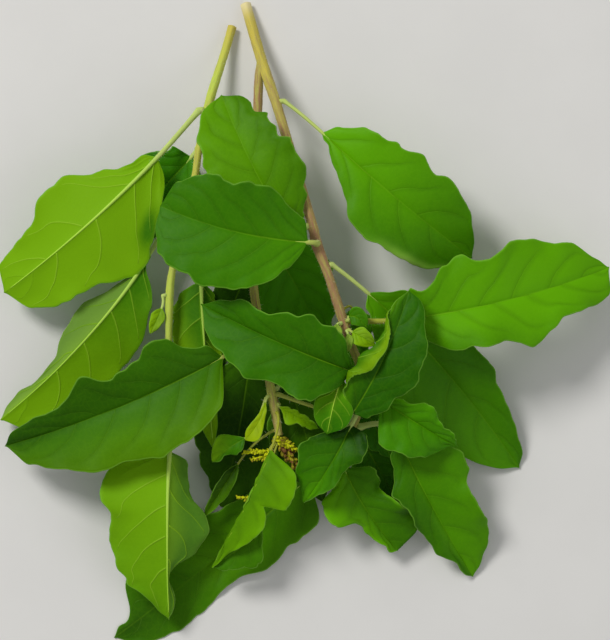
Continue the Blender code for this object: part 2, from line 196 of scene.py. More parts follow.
LEAVES = [
    # The left stem
    Leaf("leaf_left_upper", "left", (-21.8, 48.4, 7.4), (-33.1, 36.6, 13.5), (-49.4, 20.8, 16.5),
         (-67.9, 6.2, 7.5), (8, 11, 14, 13, 10.5, 8.5), (4.2, 7.2, 11.2, 11, 8, 6.2), -12, -14,
         blunt=0.5, bow=0.25, wave=0.9, underside_up=True),
    Leaf("leaf_left_back", "left", (-23.9, 38.9, 10), (-25.6, 36.8, 7.4), (-33.8, 28.0, 5.8),
         (-43.0, 18.5, 2.2), (6.5, 9, 9.5, 9, 6.5, 4), (5.6, 7.4, 7, 6.5, 5, 3), 8, 8, blunt=0.45),
    Leaf("leaf_left_folded", "left", (-26.9, 24.0, 12.5), (-34.4, 15.8, 12.2), (-48.4, -3.4, 12.0),
         (-68.9, -22.6, 3.6), (3.6, 7.8, 10.2, 10.4, 10, 7), (2.2, 4.4, 7.8, 6.8, 2.6, 2.2),
         -12, -52, wave=0.7, underside_up=True),
    Leaf("leaf_left_inner", "left", (-27.4, 21.4, 12.8), (-23.4, 8.8, 10.6), (-22.7, -5.6, 11.6),
         (-20.7, -28.8, 8.6), oval(5.0), (5, 6.6, 6.8, 6.4, 5, 2.8), -48, -14, wave=0.4,
         underside_up=True),
    Leaf("leaf_left_end", "left", (-30.2, -26.5, 12.8), (-30.4, -29.6, 13.2), (-31.0, -47.4, 13.0),
         (-30.8, -67.7, 5.0), (5, 6, 9.8, 9, 3.4, 1.6), (11.8, 15, 13, 12.6, 10.2, 5.2), -32, -12,
         blunt=0.9, wave=1.2, waves=2.0, phase=0.2, underside_up=True),
    # The branch
    Leaf("leaf_left_front", "branch", (-9.6, -4.5, 12.2), (-18.4, -8.3, 18.6), (-41.4, -19.4, 18.4),
         (-67.6, -28.4, 8.0), (10.2, 13, 13.8, 12, 10.8, 6.8), (7.4, 11.6, 7.8, 8.8, 6.2, 4.2),
         14, 32, blunt=0.75, teeth=7, wave=0.9),
    # leaf_bottom_shade and the shade leaves lie low under the others, and the shade leaves fill the gaps
    # between them. Their dark greens in LOOKS are painted shade.
    Leaf("leaf_bottom_shade", "branch", (-9.0, -8.5, 12), (-12.4, -7.5, 8.2), (-15.0, -25.5, 4.4),
         (-19.0, -42.4, 1.4), (7.5, 10.4, 11, 10.4, 9.4, 7.2), oval(10.4), 6, 6, wave=0.4),
    Leaf("leaf_shade_low", "branch", (-7.6, -15.6, 12.4), (-3.4, -15.0, 9.4), (0.6, -27.5, 8.8),
         (4.0, -41.0, 7.6), oval(5.6), oval(8.0), 4, 4, wave=0.2, small=True,
         part_of="leaf_bottom_shade"),
    Leaf("leaf_shade_upper", "branch", (-11.6, 9.0, 12), (-12.6, 10.8, 8.4), (-17.0, 1.2, 7.6),
         (-20.4, -12.6, 7.0), oval(5.4), oval(5.4), 4, 4, wave=0.2, small=True,
         part_of="leaf_middle_back"),
    Leaf("leaf_shade_right", "main", (12.6, -18.5, 13.4), (13.0, -18.6, 9.4), (16.0, -24.4, 9.2),
         (19.4, -31.0, 8.4), oval(4.6), oval(4.6), 4, 4, wave=0.2, small=True,
         part_of="leaf_bottom_back"),
    Leaf("leaf_middle_back", "branch", (-12.0, 21.0, 11.8), (-8.0, 17.4, 8.6), (-1.4, 6.5, 7.0),
         (4.0, -5.4, 4.0), oval(9.0), (6.5, 9.5, 10.6, 9.6, 7, 4), 8, 8, wave=0.5),
    Leaf("leaf_right_curled", "branch", (-7.4, -17.0, 12.4), (10.6, -20.9, 20.0), (17.8, -7.9, 24.6),
         (23.2, 6.5, 24.0), (4.6, 7.2, 9.3, 5.2, 3.9, 2.6), (6.2, 7.4, 9.2, 8.6, 7.4, 5.2), 4, 12,
         blunt=0.7, bow=0.1, wave=0.3, roll_left=156,
         roll_starts=(1, 0.9, 0.73, 0.48, 0.44, 0.45, 0.7, 1, 1)),
    Leaf("leaf_bottom_bright", "branch", (-7.0, -21.0, 12.4), (-7.6, -29.0, 16.2),
         (-13.2, -41.4, 15.0), (-20.9, -55.8, 9.0), (8.2, 8.6, 6, 6, 7.4, 5.2),
         (1, 1.4, 1.6, 1.4, 1.2, 0.8), 8, -84, bow=0.7, wave=0.5, waves=2.0),
    Leaf("leaf_bottom_lobe", "", (-9.7, -46.9, 10.2), (-9.7, -46.9, 10.2), (-14.9, -51.6, 9.6),
         (-20.8, -55.5, 8.4), (2, 4.6, 5.6, 4.4, 3.2, 2.2), oval(2.2), 4, 4, teeth=5, tooth=0.5,
         wave=0.3, small=True, part_of="leaf_bottom_bright"),
    # The main stem
    Leaf("leaf_top_back", "main", (1.2, 22.4, 19.4), (-3.2, 19.6, 20.6), (-11.7, 34.4, 21.6),
         (-18.7, 50.3, 17.5), (5, 8, 9.4, 9.8, 9.5, 7.6), (5.2, 8.8, 10.4, 8.6, 7.3, 5.4), 8, 8,
         blunt=0.5, wave=0.6),
    Leaf("leaf_top_front", "main", (2.6, 17.2, 20.3), (0.7, 17.3, 24.6), (-16.2, 19.8, 27.4),
         (-32.2, 25.4, 24.0), (6.4, 10.8, 12.4, 12.8, 11, 8.8), (8.2, 11.4, 12, 11.6, 11.2, 9), 12, 18,
         blunt=0.5, wave=0.7),
    Leaf("leaf_right_top", "main", (-5.4, 50.0, 11.2), (3.8, 42.1, 14.6), (20.0, 27.7, 16.4),
         (37.6, 14.0, 9.5), (6.2, 8.2, 9.8, 9.3, 9.7, 6.7), (3.2, 6.8, 10.2, 10.8, 9.6, 7), 12, 12,
         blunt=0.5, wave=0.8),
    Leaf("leaf_right_low", "main", (4.4, 13.0, 20.4), (14.0, 6.1, 16.6), (31.5, -11.4, 10.4),
         (48.6, -33.5, 0.5), (6.4, 8.6, 8.4, 8.2, 6.4, 4.4), (5.6, 9.4, 12, 12.4, 11.8, 8.4), 8, 10,
         blunt=0.75, wave=0.8),
    Leaf("leaf_right_long", "main", (8.6, -0.4, 19.4), (20.6, 0.0, 18.6), (45.5, 4.5, 18.0),
         (68.6, 11.9, 7.5), (7.2, 11.6, 9.8, 12, 10.6, 7.4), (6, 8.4, 8.4, 11.2, 6.6, 5.6), 12, 12,
         blunt=0.65, teeth=7, wave=1.2, waves=2.5),
    Leaf("leaf_middle_front", "main", (12.4, -11.0, 16.2), (10.6, -11.4, 21.4), (-4.5, -5.6, 23.6),
         (-23.2, 3.5, 17.5), (6.8, 10, 9.2, 9.4, 8.4, 5.8), (4.8, 7.6, 9, 7, 5.4, 4.4), 14, 36,
         blunt=0.6, wave=0.8),
    Leaf("leaf_right_inner", "main", (12.8, -12.4, 15.7), (17.0, -17.8, 17.4), (25.9, -23.6, 17.8),
         (34.2, -28.4, 13.5), (2.6, 4.2, 5.6, 5.4, 3.6, 2.2), (5.4, 8.2, 8, 7, 5.6, 2.4), 40, 10,
         blunt=0.8, teeth=5, wave=0.6),
    Leaf("leaf_right_end", "main", (11.2, -23.4, 11.8), (20.8, -26.0, 11.6), (28.4, -41.6, 9.6),
         (38.1, -58.2, 0.5), (8.2, 11, 10.2, 9.4, 9, 6.8), (3.6, 4.8, 5, 5.2, 4.2, 2.2), 12, 20,
         blunt=0.7, wave=1.2, waves=2.0),
    Leaf("leaf_bottom_middle", "main", (12.4, -19.5, 13.2), (10.4, -23.6, 15.8), (5.6, -32.6, 16.8),
         (-0.2, -41.0, 13.0), (5.2, 6.4, 5, 3.8, 2.8, 1.6), (3.6, 6, 7.4, 7.2, 5.2, 2.8), 20, 12,
         blunt=0.9, teeth=5, tooth=0.3, wave=0.7),
    Leaf("leaf_bottom_right", "main", (11.2, -23.2, 11.8), (8.8, -33.3, 10.2), (13.8, -42.8, 8.0),
         (20.9, -52.2, 4.0), (5, 6.2, 5.8, 6, 8.2, 6), (3.8, 7, 7.4, 4, 2.4, 1.4), 16, 10,
         blunt=0.8, teeth=5, wave=1.4, waves=2.0),
    Leaf("leaf_bottom_back", "main", (10.8, -24.6, 11.4), (13.6, -28.4, 6.4), (18.0, -36.0, 3.2),
         (23.0, -45.0, 1.4), oval(6.6), oval(6.6), 4, 4, teeth=5, wave=0.3),
    Leaf("leaf_bottom_long", "main", (9.8, -25.0, 11.2), (1.6, -34.9, 6.4), (-20.4, -54.2, 0.7),
         (-43.2, -72.1, 0.31), (8.2, 8.2, 6.8, 5.6, 6.2, 4.8), (5, 7, 9, 9.4, 9, 4.4), 2, 6,
         blunt=0.8, teeth=8, wave=0.6, waves=2.5),
    # Young leaves in the axils
    Leaf("leaflet_middle", "main", (12.8, -15.4, 15.0), (8.1, -12.8, 20.2), (6.3, -19.1, 21.8),
         (5.0, -25.4, 19.5), (1.8, 2.2, 4, 4.6, 4.4, 3.2), (1.1, 2, 3.8, 4.1, 3.8, 2.6), -10, -10,
         teeth=3, tooth=0.2, wave=0.3, small=True, underside_up=True),
    Leaf("leaflet_axil_right", "main", (8.6, -0.4, 19.4), (9.8, 0.8, 20.8), (11.8, 0.4, 21.6),
         (13.8, -1.8, 21.4), oval(2.2), oval(1.8), 10, 10, bow=0.12, teeth=2, tooth=0.15, wave=0.0,
         small=True, young=True),
    Leaf("leaflet_axil_low", "main", (9.2, -2.4, 19.2), (10.6, -2.7, 21.2), (13.0, -4.0, 22.0),
         (15.6, -5.6, 21.2), oval(2.0), oval(2.1), 14, 14, bow=0.12, teeth=2, tooth=0.15, wave=0.0,
         small=True, young=True),
    Leaf("leaflet_axil_left", "main", (8.2, 0.4, 19.5), (7.2, -1.0, 21.9), (7.2, -3.4, 23.6),
         (8.2, -6.0, 24.2), oval(1.1), oval(1.1), 20, 20, bow=0.12, teeth=2, tooth=0.1, wave=0.0,
         small=True, young=True),
    Leaf("bract_axil", "main", (9.2, -2.4, 19.2), (9.6, -3.2, 21.2), (9.8, -5.0, 22.2),
         (9.4, -7.0, 22.4), oval(0.9), oval(0.9), 20, 20, bow=0.12, teeth=2, tooth=0.1, wave=0.0,
         small=True, young=True, part_of="leaflet_axil_low"),
    # A shade leaf low under the axil fills the gap beside the stem; its darker green is painted shade.
    Leaf("leaf_shade_axil", "main", (7.4, 3.2, 20.1), (10.6, 2.6, 15.0), (11.8, -3.2, 13.6),
         (11.8, -13.2, 12.4), oval(3.2), oval(4.2), 4, 4, bow=0.2, wave=0.2, small=True,
         part_of="leaflet_axil_right"),
    Leaf("leaflet_low_left", "branch", (-8.2, -16.6, 12.4), (-13.6, -26.6, 14.6),
         (-17.2, -28.8, 14.4), (-20.8, -31.8, 13.0), (1.3, 1.9, 2.1, 2.2, 1.3, 0.8, 0.9, 0.8),
         (0.9, 1.7, 2.7, 3.4, 3.4, 3.0, 2.3, 1.4), 10, 14, bow=0.2, teeth=3, tooth=0.15, wave=0.4,
         small=True, young=True),
    Leaf("wing_low_left", "branch", (-8.2, -16.6, 12.4), (-8.9, -18.6, 14.2), (-10.4, -22.8, 15.2),
         (-13.4, -26.9, 14.6), (0.5, 0.7, 1.1, 1.6, 2.1, 2.0), (0.4, 0.6, 0.9, 1.2, 1.3, 1.1),
         24, 24, bow=0.15, teeth=2, tooth=0.1, wave=0.2, small=True, young=True,
         part_of="leaflet_low_left"),
    Leaf("leaflet_low_right", "branch", (-7.0, -18.4, 12.4), (-5.6, -19.6, 12.9), (-1.6, -21.8, 12.8),
         (2.9, -24.4, 11.8), (0.7, 0.9, 1, 1, 0.9, 0.7), (0.9, 2.6, 2.4, 1.2, 1.3, 1), 24, 24,
         teeth=4, tooth=0.35, wave=0.2, small=True, young=True),
    Leaf("leaflet_narrow", "branch", (-6.2, -24.0, 12.2), (-15.2, -32.6, 9.0), (-19.0, -38.6, 8.4),
         (-22.8, -44.4, 6.6), oval(1.9), oval(1.7), 30, 30, teeth=3, tooth=0.2, wave=0.3, small=True,
         young=True),
    Leaf("leaflet_left_outer", "left", (-30.4, 5.8, 13.6), (-32.2, 2.6, 14.2), (-33.4, -0.2, 14.2),
         (-34.8, -3.0, 13.4), oval(1.5), oval(1.5), 20, 20, teeth=2, tooth=0.15, wave=0.0, small=True,
         young=True),
]

# Each leaf's tones hold its own green with painted light and shade: leaves and ends that lie under others
# are darker, halves turned to the light are lighter, and the patches are painted shadows and highlights.
LOOKS = {
    # The patch on the left margin of leaf_left_upper is painted shade.
    "leaf_left_upper": Look(1.0, 1.0, 0.0, -0.05, 4, ((0.28, -0.85, 0.09, 0.2, -0.5),), stalk=0.64,
                            veins=((0.02, 0.17, 0.43, 0.68), (0.06, 0.19, 0.5, 0.74)), warm=-0.03),
    "leaf_left_back": Look(0.7, 0.35, 0.0, -0.2, warm=-0.22),
    "leaf_left_folded": Look(0.4, 1.0, 0.12, -0.32, 5, ((0.5, 0.0, 0.2, 0.8, 0.08),), pale_right=0.75,
                             stalk=0.64),
    "leaf_left_inner": Look(0.22, 0.85, 0.42, 0.42, warm=0.05),
    "leaf_left_end": Look(1.0, 0.78, -0.58, -0.05, 4, pale_left=0.3, warm=-0.05),
    "leaf_left_front": Look(0.34, 0.15, 0.33, 0.03, 5, ((0.55, -0.4, 0.3, 0.5, 0.24),), stalk=0.5,
                            ochre=0.5, warm=0.06, warm_left=0.4),
    "leaf_bottom_shade": Look(0.27, 0.26, 0.0, 0.0, 4, ((0.5, 0.0, 0.25, 1.0, -0.2),), warm=0.25),
    "leaf_shade_low": Look(0.5, 0.05, warm=0.3),
    "leaf_shade_upper": Look(0.22, 0.2, warm=0.2),
    "leaf_shade_right": Look(0.5, 0.35, warm=-0.15),
    "leaf_shade_axil": Look(0.5, 0.4, 0.0, 0.0, 3, stalk=0.3, ochre=0.9),
    "leaf_middle_back": Look(0.7, 0.82, warm=-0.18),
    "leaf_right_curled": Look(0.22, 0.3, 0.0, 0.0, 4, ((0.5, -0.9, 0.5, 0.35, 0.6),), stalk=0.4,
                              ochre=0.6, warm=-0.16, warm_left=0.4),
    "leaf_bottom_bright": Look(0.65, 0.69, 0.2, 0.0, 4, ((0.3, 0.8, 0.16, 0.4, 0.2),), stalk=0.3,
                               ochre=0.9, warm=0.34),
    "leaf_bottom_lobe": Look(0.72, 0.52, -0.12, 0.0, 3, warm=0.12),
    "leaf_top_back": Look(0.76, 0.74, 0.08, -0.18, warm=0.2),
    "leaf_top_front": Look(0.7, 0.48, 0.0, -0.14, 4, ((0.42, 0.75, 0.22, 0.4, -0.08),), ochre=0.4,
                           warm=-0.05),
    "leaf_right_top": Look(0.97, 0.6, -0.03, -0.13, 4, ((0.76, 1.0, 0.16, 0.12, 0.6),), stalk=0.44,
                           ochre=0.1, pale_patches=((0.76, 1.0, 0.16, 0.14, 1.1),)),
    # The first patch of leaf_right_low is a painted shadow cast by leaf_right_long, the second painted
    # shade along the middle.
    "leaf_right_low": Look(0.8, 0.66, -0.13, 0.1, 4,
                           ((0.3, 0.4, 0.15, 0.5, -0.3), (0.5, 0.0, 0.14, 1.0, -0.1)), stalk=0.5),
    "leaf_right_long": Look(0.82, 1.0, -0.1, -0.17, 5,
                            ((0.3, 0.3, 0.12, 0.3, 0.12), (0.6, 0.0, 0.15, 0.8, 0.08)), stalk=0.66,
                            ochre=0.8, warm=0.03),
    "leaf_middle_front": Look(0.26, 0.4, 0.06, 0.05, warm=-0.07),
    "leaf_right_inner": Look(0.73, 0.7, 0.0, -0.06, 4, ((0.12, -1.0, 0.25, 0.15, 0.4),), warm=-0.13),
    "leaf_right_end": Look(0.65, 0.8, -0.02, -0.38, 4, ((0.5, 0.0, 0.15, 1.0, -0.05),), warm=0.03),
    "leaf_bottom_middle": Look(0.11, 0.94, -0.18, -0.24, warm=-0.06),
    "leaf_bottom_right": Look(0.66, 0.6, -0.3, 0.26, 4, ((0.5, -1.0, 0.22, 0.1, 0.6),), warm=0.07),
    "leaf_bottom_back": Look(0.6, 0.15, warm=-0.07),
    "leaf_bottom_long": Look(0.46, 0.12, 0.18, 0.2, 6, ((0.5, 0.0, 0.22, 0.9, 0.42),), warm=0.16),
    "leaflet_middle": Look(0.9, 0.46, 0.0, 0.12, 3, stalk=0.3, ochre=0.7, warm=-0.2),
    "leaflet_low_left": Look(0.42, 0.9, -0.24, 0.1, 3, stalk=0.26, ochre=0.3),
    "wing_low_left": Look(1.0, 1.0, 0.0, 0.0, 3, stalk=0.3, ochre=0.2, warm=0.5),
    "leaflet_low_right": Look(1.0, 0.65, 0.0, 0.0, 3, stalk=0.3, ochre=0.4, warm=0.13),
    "leaflet_narrow": Look(0.08, 0.28, 0.2, -0.05, 3, stalk=0.28, ochre=0.7, warm=0.5),
    "leaflet_left_outer": Look(0.75, 1.0, 0.05, 0.05, 3, pale_left=0.3, stalk=0.34, warm=0.2),
    "leaflet_axil_right": Look(0.48, 0.52, 0.0, 0.0, 3, stalk=0.34, ochre=0.3),
    "leaflet_axil_left": Look(1.0, 1.0, 0.0, 0.0, 3, pale_left=0.8, pale_right=0.8, stalk=0.34, warm=0.3),
    "bract_axil": Look(1.0, 1.0, 0.0, 0.0, 3, pale_left=0.8, pale_right=0.8, stalk=0.3, warm=0.3),
    "leaflet_axil_low": Look(0.9, 1.0, 0.0, 0.0, 3, pale_left=0.2, stalk=0.34, ochre=0.3, warm=0.13),
}

# The width of each half blade at its margin, at equal steps from base to tip
MARGINS = {
    "leaf_left_upper": (
        (3.5, 5.5, 6.7, 8.1, 9.2, 10, 11.2, 12.6, 13.2, 15, 15.5, 15.7, 15.7, 14.9, 14.1, 13.2, 11.7,
         11.4, 11.1, 10.5, 10.5, 9.9, 9.6, 8.5, 7.1, 5.5),
        (2.6, 3, 3.2, 3.9, 4.9, 6.5, 7.2, 7.7, 9.2, 10.7, 11.9, 11.9, 11.8, 12, 12, 11.7, 10.8, 9, 8.3,
         8, 7.5, 7.3, 7, 6.6, 6.1, 5.1),
    ),
    "leaf_left_back": (
        None,
        (4.4, 4.7, 4.8, 5.7, 6.6, 7.3, 7.8, 8.3, 8, 7.3, 7.1, 6.9, 6.9, 6.7, 6.6, 6.3, 6, 5.6, 5.1, 4.7,
         4.1, 3.7, 3.1, 2.7, 2.1, 1.2),
    ),
    "leaf_left_folded": (
        (0.5, 0.6, 1.4, 3.6, 5.3, 6.7, 7.1, 8.1, 8.9, 9.8, 10, 10.3, 10.5, 10.4, 10.5, 10.4, 10.4, 10.4,
         10.1, 9.7, 9, 8.3, 7.2, 6.2, 4.5, 4.3),
        (0.4, 0.8, 0.8, 0.9, 1.6, 2.4, 3.2, 4.2, 5.2, 6.2, 7.2, 7.8, 7.8, 7.3, 6.6, 6.2, 5.2, 3.2, 2.5,
         2.1, 1.8, 1.8, 2.2, 2.6, 2.2, 1.8),
    ),
    "leaf_left_end": (
        (3.6, 4.5, 4.6, 4.6, 4.8, 5, 5.3, 5.7, 6.4, 7.6, 9, 9.6, 10.1, 10.2, 9.6, 8.5, 7.6, 6.3, 2.8,
         1.1, 0.4, 0.4, 1, 1.5, 1.5, 0.9),
        (6.4, 10, 12.6, 14, 14.4, 15, 15.3, 15.4, 15, 13.8, 12.8, 12.8, 12.9, 13.1, 13.1, 13.2,
         12.7, 11.9, 11.7, 11.1, 9.4, 9, 6.3, 4.5, 3.2, 2),
    ),
    "leaf_left_front": (
        (3.3, 6.9, 9.6, 10.5, 11.5, 12.3, 12.9, 13.3, 13.3, 13.7, 14.4, 13.7, 13, 12.6, 11.9, 12.1,
         12.2, 12, 11.3, 10.2, 9.1, 8.3, 7.5, 6, 5.3, 2.5),
        (3.9, 4.7, 5.6, 7.1, 10, 11, 11.4, 10.9, 8.9, 8.6, 7.9, 7.7, 6.8, 7.6, 9.6, 10.1, 8.5, 6.9, 5.7,
         4.9, 4.6, 4.6, 4.5, 3.8, 3.3, 2.3),
    ),
    "leaf_right_curled": (
        None,
        (3.2, 3.8, 5, 5.8, 6.3, 6.2, 6.3, 7.3, 8, 8.5, 9.1, 9.2, 8.7, 8.5, 8.5, 8.4, 8.4, 8.1, 7.6, 6.7,
         6, 5.5, 5.1, 4.7, 3.9, 2.7),
    ),
    "leaf_bottom_bright": (
        (1.6, 4.4, 6.6, 7.5, 8.0, 8.4, 8.6, 8.8, 8.8, 8.8, 8.6, 8.2, 3.9, 4.5, 5.2, 5.6, 5.8, 5.7, 5.3,
         4.9, 4.5, 3.9, 3.1, 2.4, 1.8, 1.3, 0.9, 0.5),
        (0.3, 0.4, 0.4, 0.3),
    ),
    "leaf_top_back": (
        (2, 3.3, 4.5, 5.1, 6.1, 6.9, 7.5, 8.2, 8.6, 9, 9.3, 9.5, 9.7, 9.7, 9.8, 9.8, 9.9, 9.3, 8.8, 8.8,
         8.9, 8.2, 7.1, 6.5, 5.7, 3.7),
        (4.1, 4.8, 5.8, 7.4, 7.6, 7.9, 9.1, 10, 10.4, 10.4, 10.1, 10, 10, 10.1, 10.2, 8.2, 8.1, 8.5,
         7.7, 7.6, 7.9, 5.7, 5.3, 5.4, 4.8, 3.5),
    ),
    "leaf_top_front": (
        (2.2, 4.2, 5.8, 6.7, 8.3, 9.5, 10.2, 10.9, 11.7, 12.1, 12.7, 12.8, 12.9, 13.1, 13.3, 13.7, 13.4,
         12.2, 12, 11.9, 11.6, 11.3, 10.2, 9.6, 7, 4.9),
        (4.6, 5.7, 6.7, 7.4, 8.5, 9.8, 10.8, 11.4, 11.7, 11.5, 11.4, 11.7, 11.7, 11.2, 10.4, 10.4, 10.6,
         11.4, 11.3, 11, 10.6, 9.8, 9.2, 8.2, 7, 5.8),
    ),
    "leaf_right_top": (
        (2.9, 4.1, 5.4, 7.1, 7.6, 8.3, 8.3, 8.7, 9.6, 9.4, 9.8, 10.9, 11.3, 10.7, 9.8, 9.7, 10.7, 11,
         10.5, 9.9, 9.1, 8.5, 7.6, 5.9, 4.5, 2.8),
        (0.9, 1.1, 2.4, 3.4, 4.1, 4.9, 5.8, 6.9, 7.8, 9.6, 10.7, 11, 11.2, 11.5, 11, 10.4, 10.4, 10.2,
         10, 9.6, 9.3, 8.8, 8, 6.4, 4.9, 2.8),
    ),
    "leaf_right_low": (
        (1.7, 3.4, 5.7, 6.6, 7.4, 8.1, 8.3, 8.7, 8.7, 8.6, 8.5, 8.4, 8.4, 8.6, 8.6, 8.8, 8.7, 7.3, 6.9,
         6.4, 5.9, 5.2, 4.7, 3.8, 3.2, 2.3),
        (2.6, 3.2, 4.7, 5.8, 6.9, 7.9, 8.7, 9.7, 10.4, 11.2, 11.8, 12.1, 12.4, 12.4, 12.5, 12.4, 12.4,
         12.3, 11.9, 11.5, 10.6, 9.4, 8.2, 6.9, 5.3, 3.3),
    ),
    "leaf_right_long": (
        (2.6, 6.6, 5.8, 5.9, 7.5, 10.1, 10.7, 12, 12.3, 10.8, 10, 9.9, 10.5, 11.6, 12.5, 12.6, 12.2,
         11.9, 11.4, 10.2, 9.3, 8.8, 8.1, 6, 3.7, 2.1),
        (1.9, 3.8, 5.3, 6.5, 7.7, 8.5, 8.9, 8.3, 8.9, 9.3, 8.9, 8.7, 9.4, 10.6, 11.7, 10.9, 9.5, 8.6,
         7.1, 6.9, 7.1, 6.8, 6.8, 6.8, 6.2, 5),
    ),
    "leaf_middle_front": (
        (2.4, 4.4, 5.6, 6.6, 7.7, 9.3, 9.6, 10.1, 9.9, 9.6, 9.1, 8.7, 8.8, 8.9, 9.6, 10.1, 10.5, 9.4,
         8.9, 8.6, 7.6, 7.3, 6.7, 5.5, 4.2, 1.8),
        (1.6, 3.2, 4.3, 6.4, 7.7, 8.1, 9, 8.6, 8.4, 8.9, 9.7, 9.2, 8, 7.7, 7.5, 6.6, 5.6, 5.2, 5.1, 5.3,
         5.9, 5.7, 4.5, 3.7, 2.9, 1.3),
    ),
    "leaf_right_inner": (
        (0.7, 1.4, 2.2, 2.7, 3.1, 3, 3.3, 3.6, 4.2, 5, 5.4, 5.6, 5.7, 5.4, 4.9, 4, 3.5, 3.2, 2.7, 2.5,
         2.5, 2.4, 2.3, 1.6, 1.2, 0.5),
        (1.4, 3, 4.5, 5.8, 7.1, 8.3, 8.5, 8.7, 8.6, 8.3, 7.9, 7.7, 7.6, 7.5, 7.5, 7, 6.3, 5.9, 5.6, 5.1,
         4.3, 3.4, 2.2, 1, 0.6, 0.4),
    ),
    "leaf_right_end": (
        (2.5, 5, 7.1, 8.4, 9.5, 10.3, 11.2, 11.8, 11.6, 11.4, 11.5, 10.2, 9.4, 9.3, 9.4, 9.4, 9.4, 9.4,
         9.5, 9.4, 8.9, 8.4, 7.5, 6.5, 4.6, 2.8),
        (1.1, 2.2, 3.5, 3.7, 3.8, 4.4, 5.1, 6.1, 7.2, 6.2, 5.9, 5.1, 5.2, 5.3, 5.6, 5.4, 5, 4.7, 4.4,
         4.5, 4.4, 3.2, 2, 1.5, 1.4, 1.1),
    ),
    "leaf_bottom_middle": (
        (3.8, 4.5, 5.1, 5.5, 5.7, 5.8, 5.7, 5.8, 5.4, 4.4, 3.9, 3.7, 3.5, 3.4, 3.5, 3.5, 3.5, 3.5, 3.1,
         2.5, 2.2, 1.6, 1.3, 0.9, 0.6, 0.3),
        (0.8, 1.2, 1.8, 3.3, 4.4, 5, 5.7, 6.4, 7.1, 7.2, 7.7, 8.2, 8.3, 8, 7.4, 7, 6.5, 6.3, 6.1, 5.9,
         5.4, 4, 3.2, 2.7, 1.9, 1.1),
    ),
    "leaf_bottom_right": (
        (2.4, 5.2, 6, 6.2, 6.2, 6.1, 6.2, 6.2, 6, 5.4, 5.3, 5.5, 5.9, 6.4, 6.8, 7, 7.3, 7.7, 8, 8.2,
         8.3, 8.2, 8, 7.6, 6.9, 6),
        (1, 2, 3.1, 3.9, 5.7, 7.7, 7.9, 8.3, 8.5, 8.5, 8.2, 7.8, 7.2, 5.2, 3.9, 3.3, 2.9, 2.9, 3, 2.8,
         2.5, 2.2, 1.8, 1.3, 1.4, 1.3),
    ),
    "leaf_bottom_long": (
        (2.3, 7.1, 9, 9.1, 9, 9, 8.4, 9.1, 9.3, 9.3, 8.5, 7.2, 6.6, 6.5, 6.5, 6.9, 7.3, 7.5, 7.3, 7.6,
         7.6, 6.8, 6.4, 5.6, 4.2, 2.7),
        (1.3, 2.8, 4.2, 5.1, 5.8, 6.3, 6.6, 7.1, 7.6, 7.6, 8.8, 9.1, 9.3, 9.4, 9.6, 9.9, 10.3, 10.6, 10.7,
         10.6, 10.2, 9.2, 7.2, 2.8, 1.1, 1.3),
    ),
}

# Each spike: the node it stands for, its foot, its tip, the radius of its whorls and how brown it is
SPIKES = {
    "flower_spike_end": ("flower_spike_end", (-5.9, -27.2, 12.3), (-0.8, -34.2, 11.9), 1.75, 0.82),
    "flower_spike_side": ("flower_spike_end", (-7.0, -26.7, 12.9), (-1.6, -29.2, 13.0), 1.2, 0.28),
    "flower_spike_left": ("flower_spike_left", (-7.6, -29.4, 12.8), (-13.9, -29.8, 12.4), 1.0, 0.1),
    "flower_spike_lower": ("flower_spike_left", (-8.4, -30.5, 12.2), (-12.2, -31.5, 12.0), 0.95, 0.35),
    "flower_spike_small": ("flower_spike_left", (-12.1, -40.1, 10.8), (-15.4, -39.9, 10.6), 0.8, 0.3),
}

# The short stalks that join the side spikes to the end of the branch
SPIKE_STALKS = [
    ((-5.9, -26.2, 12.2), (-7.2, -27.8, 12.6), (-8.2, -29.4, 12.8)),
    ((-6.6, -27.6, 12.4), (-7.6, -29.4, 12.3), (-8.8, -30.6, 12.2)),
    ((-5.8, -26.4, 12.2), (-7.6, -33.0, 12.3), (-12.4, -40.1, 10.8)),
]

# How woody the bark is along each stem, from 0, green, to 1, mauve brown, and how straw-like. Slim is
# its radius as a share of the solid's, and cream is how pale it is at the cut end
STEM_LOOKS = {
    "main": {
        "woody": (0.1, 0.35, 0.75, 1.0, 0.9, 0.35, 0.45), "straw": (0.9, 0.7, 0.4, 0.1, 0.1, 0.4, 0.3),
        "slim": 0.88, "cream": 0.9},
    "branch": {
        "woody": (0.6, 0.8, 0.8, 0.5, 0.45, 0.4, 0.6), "straw": (0.4, 0.2, 0.2, 0.3, 0.3, 0.2, 0.3),
        "slim": 0.95, "cream": 0.0},
    "left": {
        "woody": (0.05, 0, 0, 0, 0, 0, 0), "straw": (0.9, 0.15, 0.6, 0.5, 0.2, 0.1, 0.1),
        "slim": 0.82, "cream": 0.0},
}


def unit(vectors):
    return vectors / np.maximum(np.linalg.norm(vectors, axis=-1, keepdims=True), 1e-9)


def smooth_line(values, place):
    """Places on the smooth line through the values. Place runs from 0 to one less than their count."""
    values = np.asarray(values, float)
    place = np.asarray(place, float)
    span = np.clip(place.astype(int), 0, len(values) - 2)
    u = place - span
    if values.ndim > 1:
        u = u[..., None]
    a = values[np.maximum(span - 1, 0)]
    b = values[span]
    c = values[span + 1]
    d = values[np.minimum(span + 2, len(values) - 1)]
    return 0.5 * (2 * b + (c - a) * u + (2 * a - 5 * b + 4 * c - d) * u ** 2
                  + (3 * b - a - 3 * c + d) * u ** 3)


def bent_line(start, bend, end, u):
    """Points from start, at u 0, to end, at u 1, on a curve that is drawn towards the bend."""
    return start * (1 - u) ** 2 + bend * 2 * u * (1 - u) + end * u * u


def run_along(points):
    """How far along the line through the points each of them lies."""
    return np.concatenate([[0], np.cumsum(np.linalg.norm(np.diff(points, axis=0), axis=1))])


def stem_line(stem, per_span):
    """Centres and radii along a stem."""
    route = STEM_ROUTES[stem]
    found = smooth_line(route, np.arange((len(route) - 1) * per_span + 1) / per_span)
    return found[:, :3], found[:, 3]


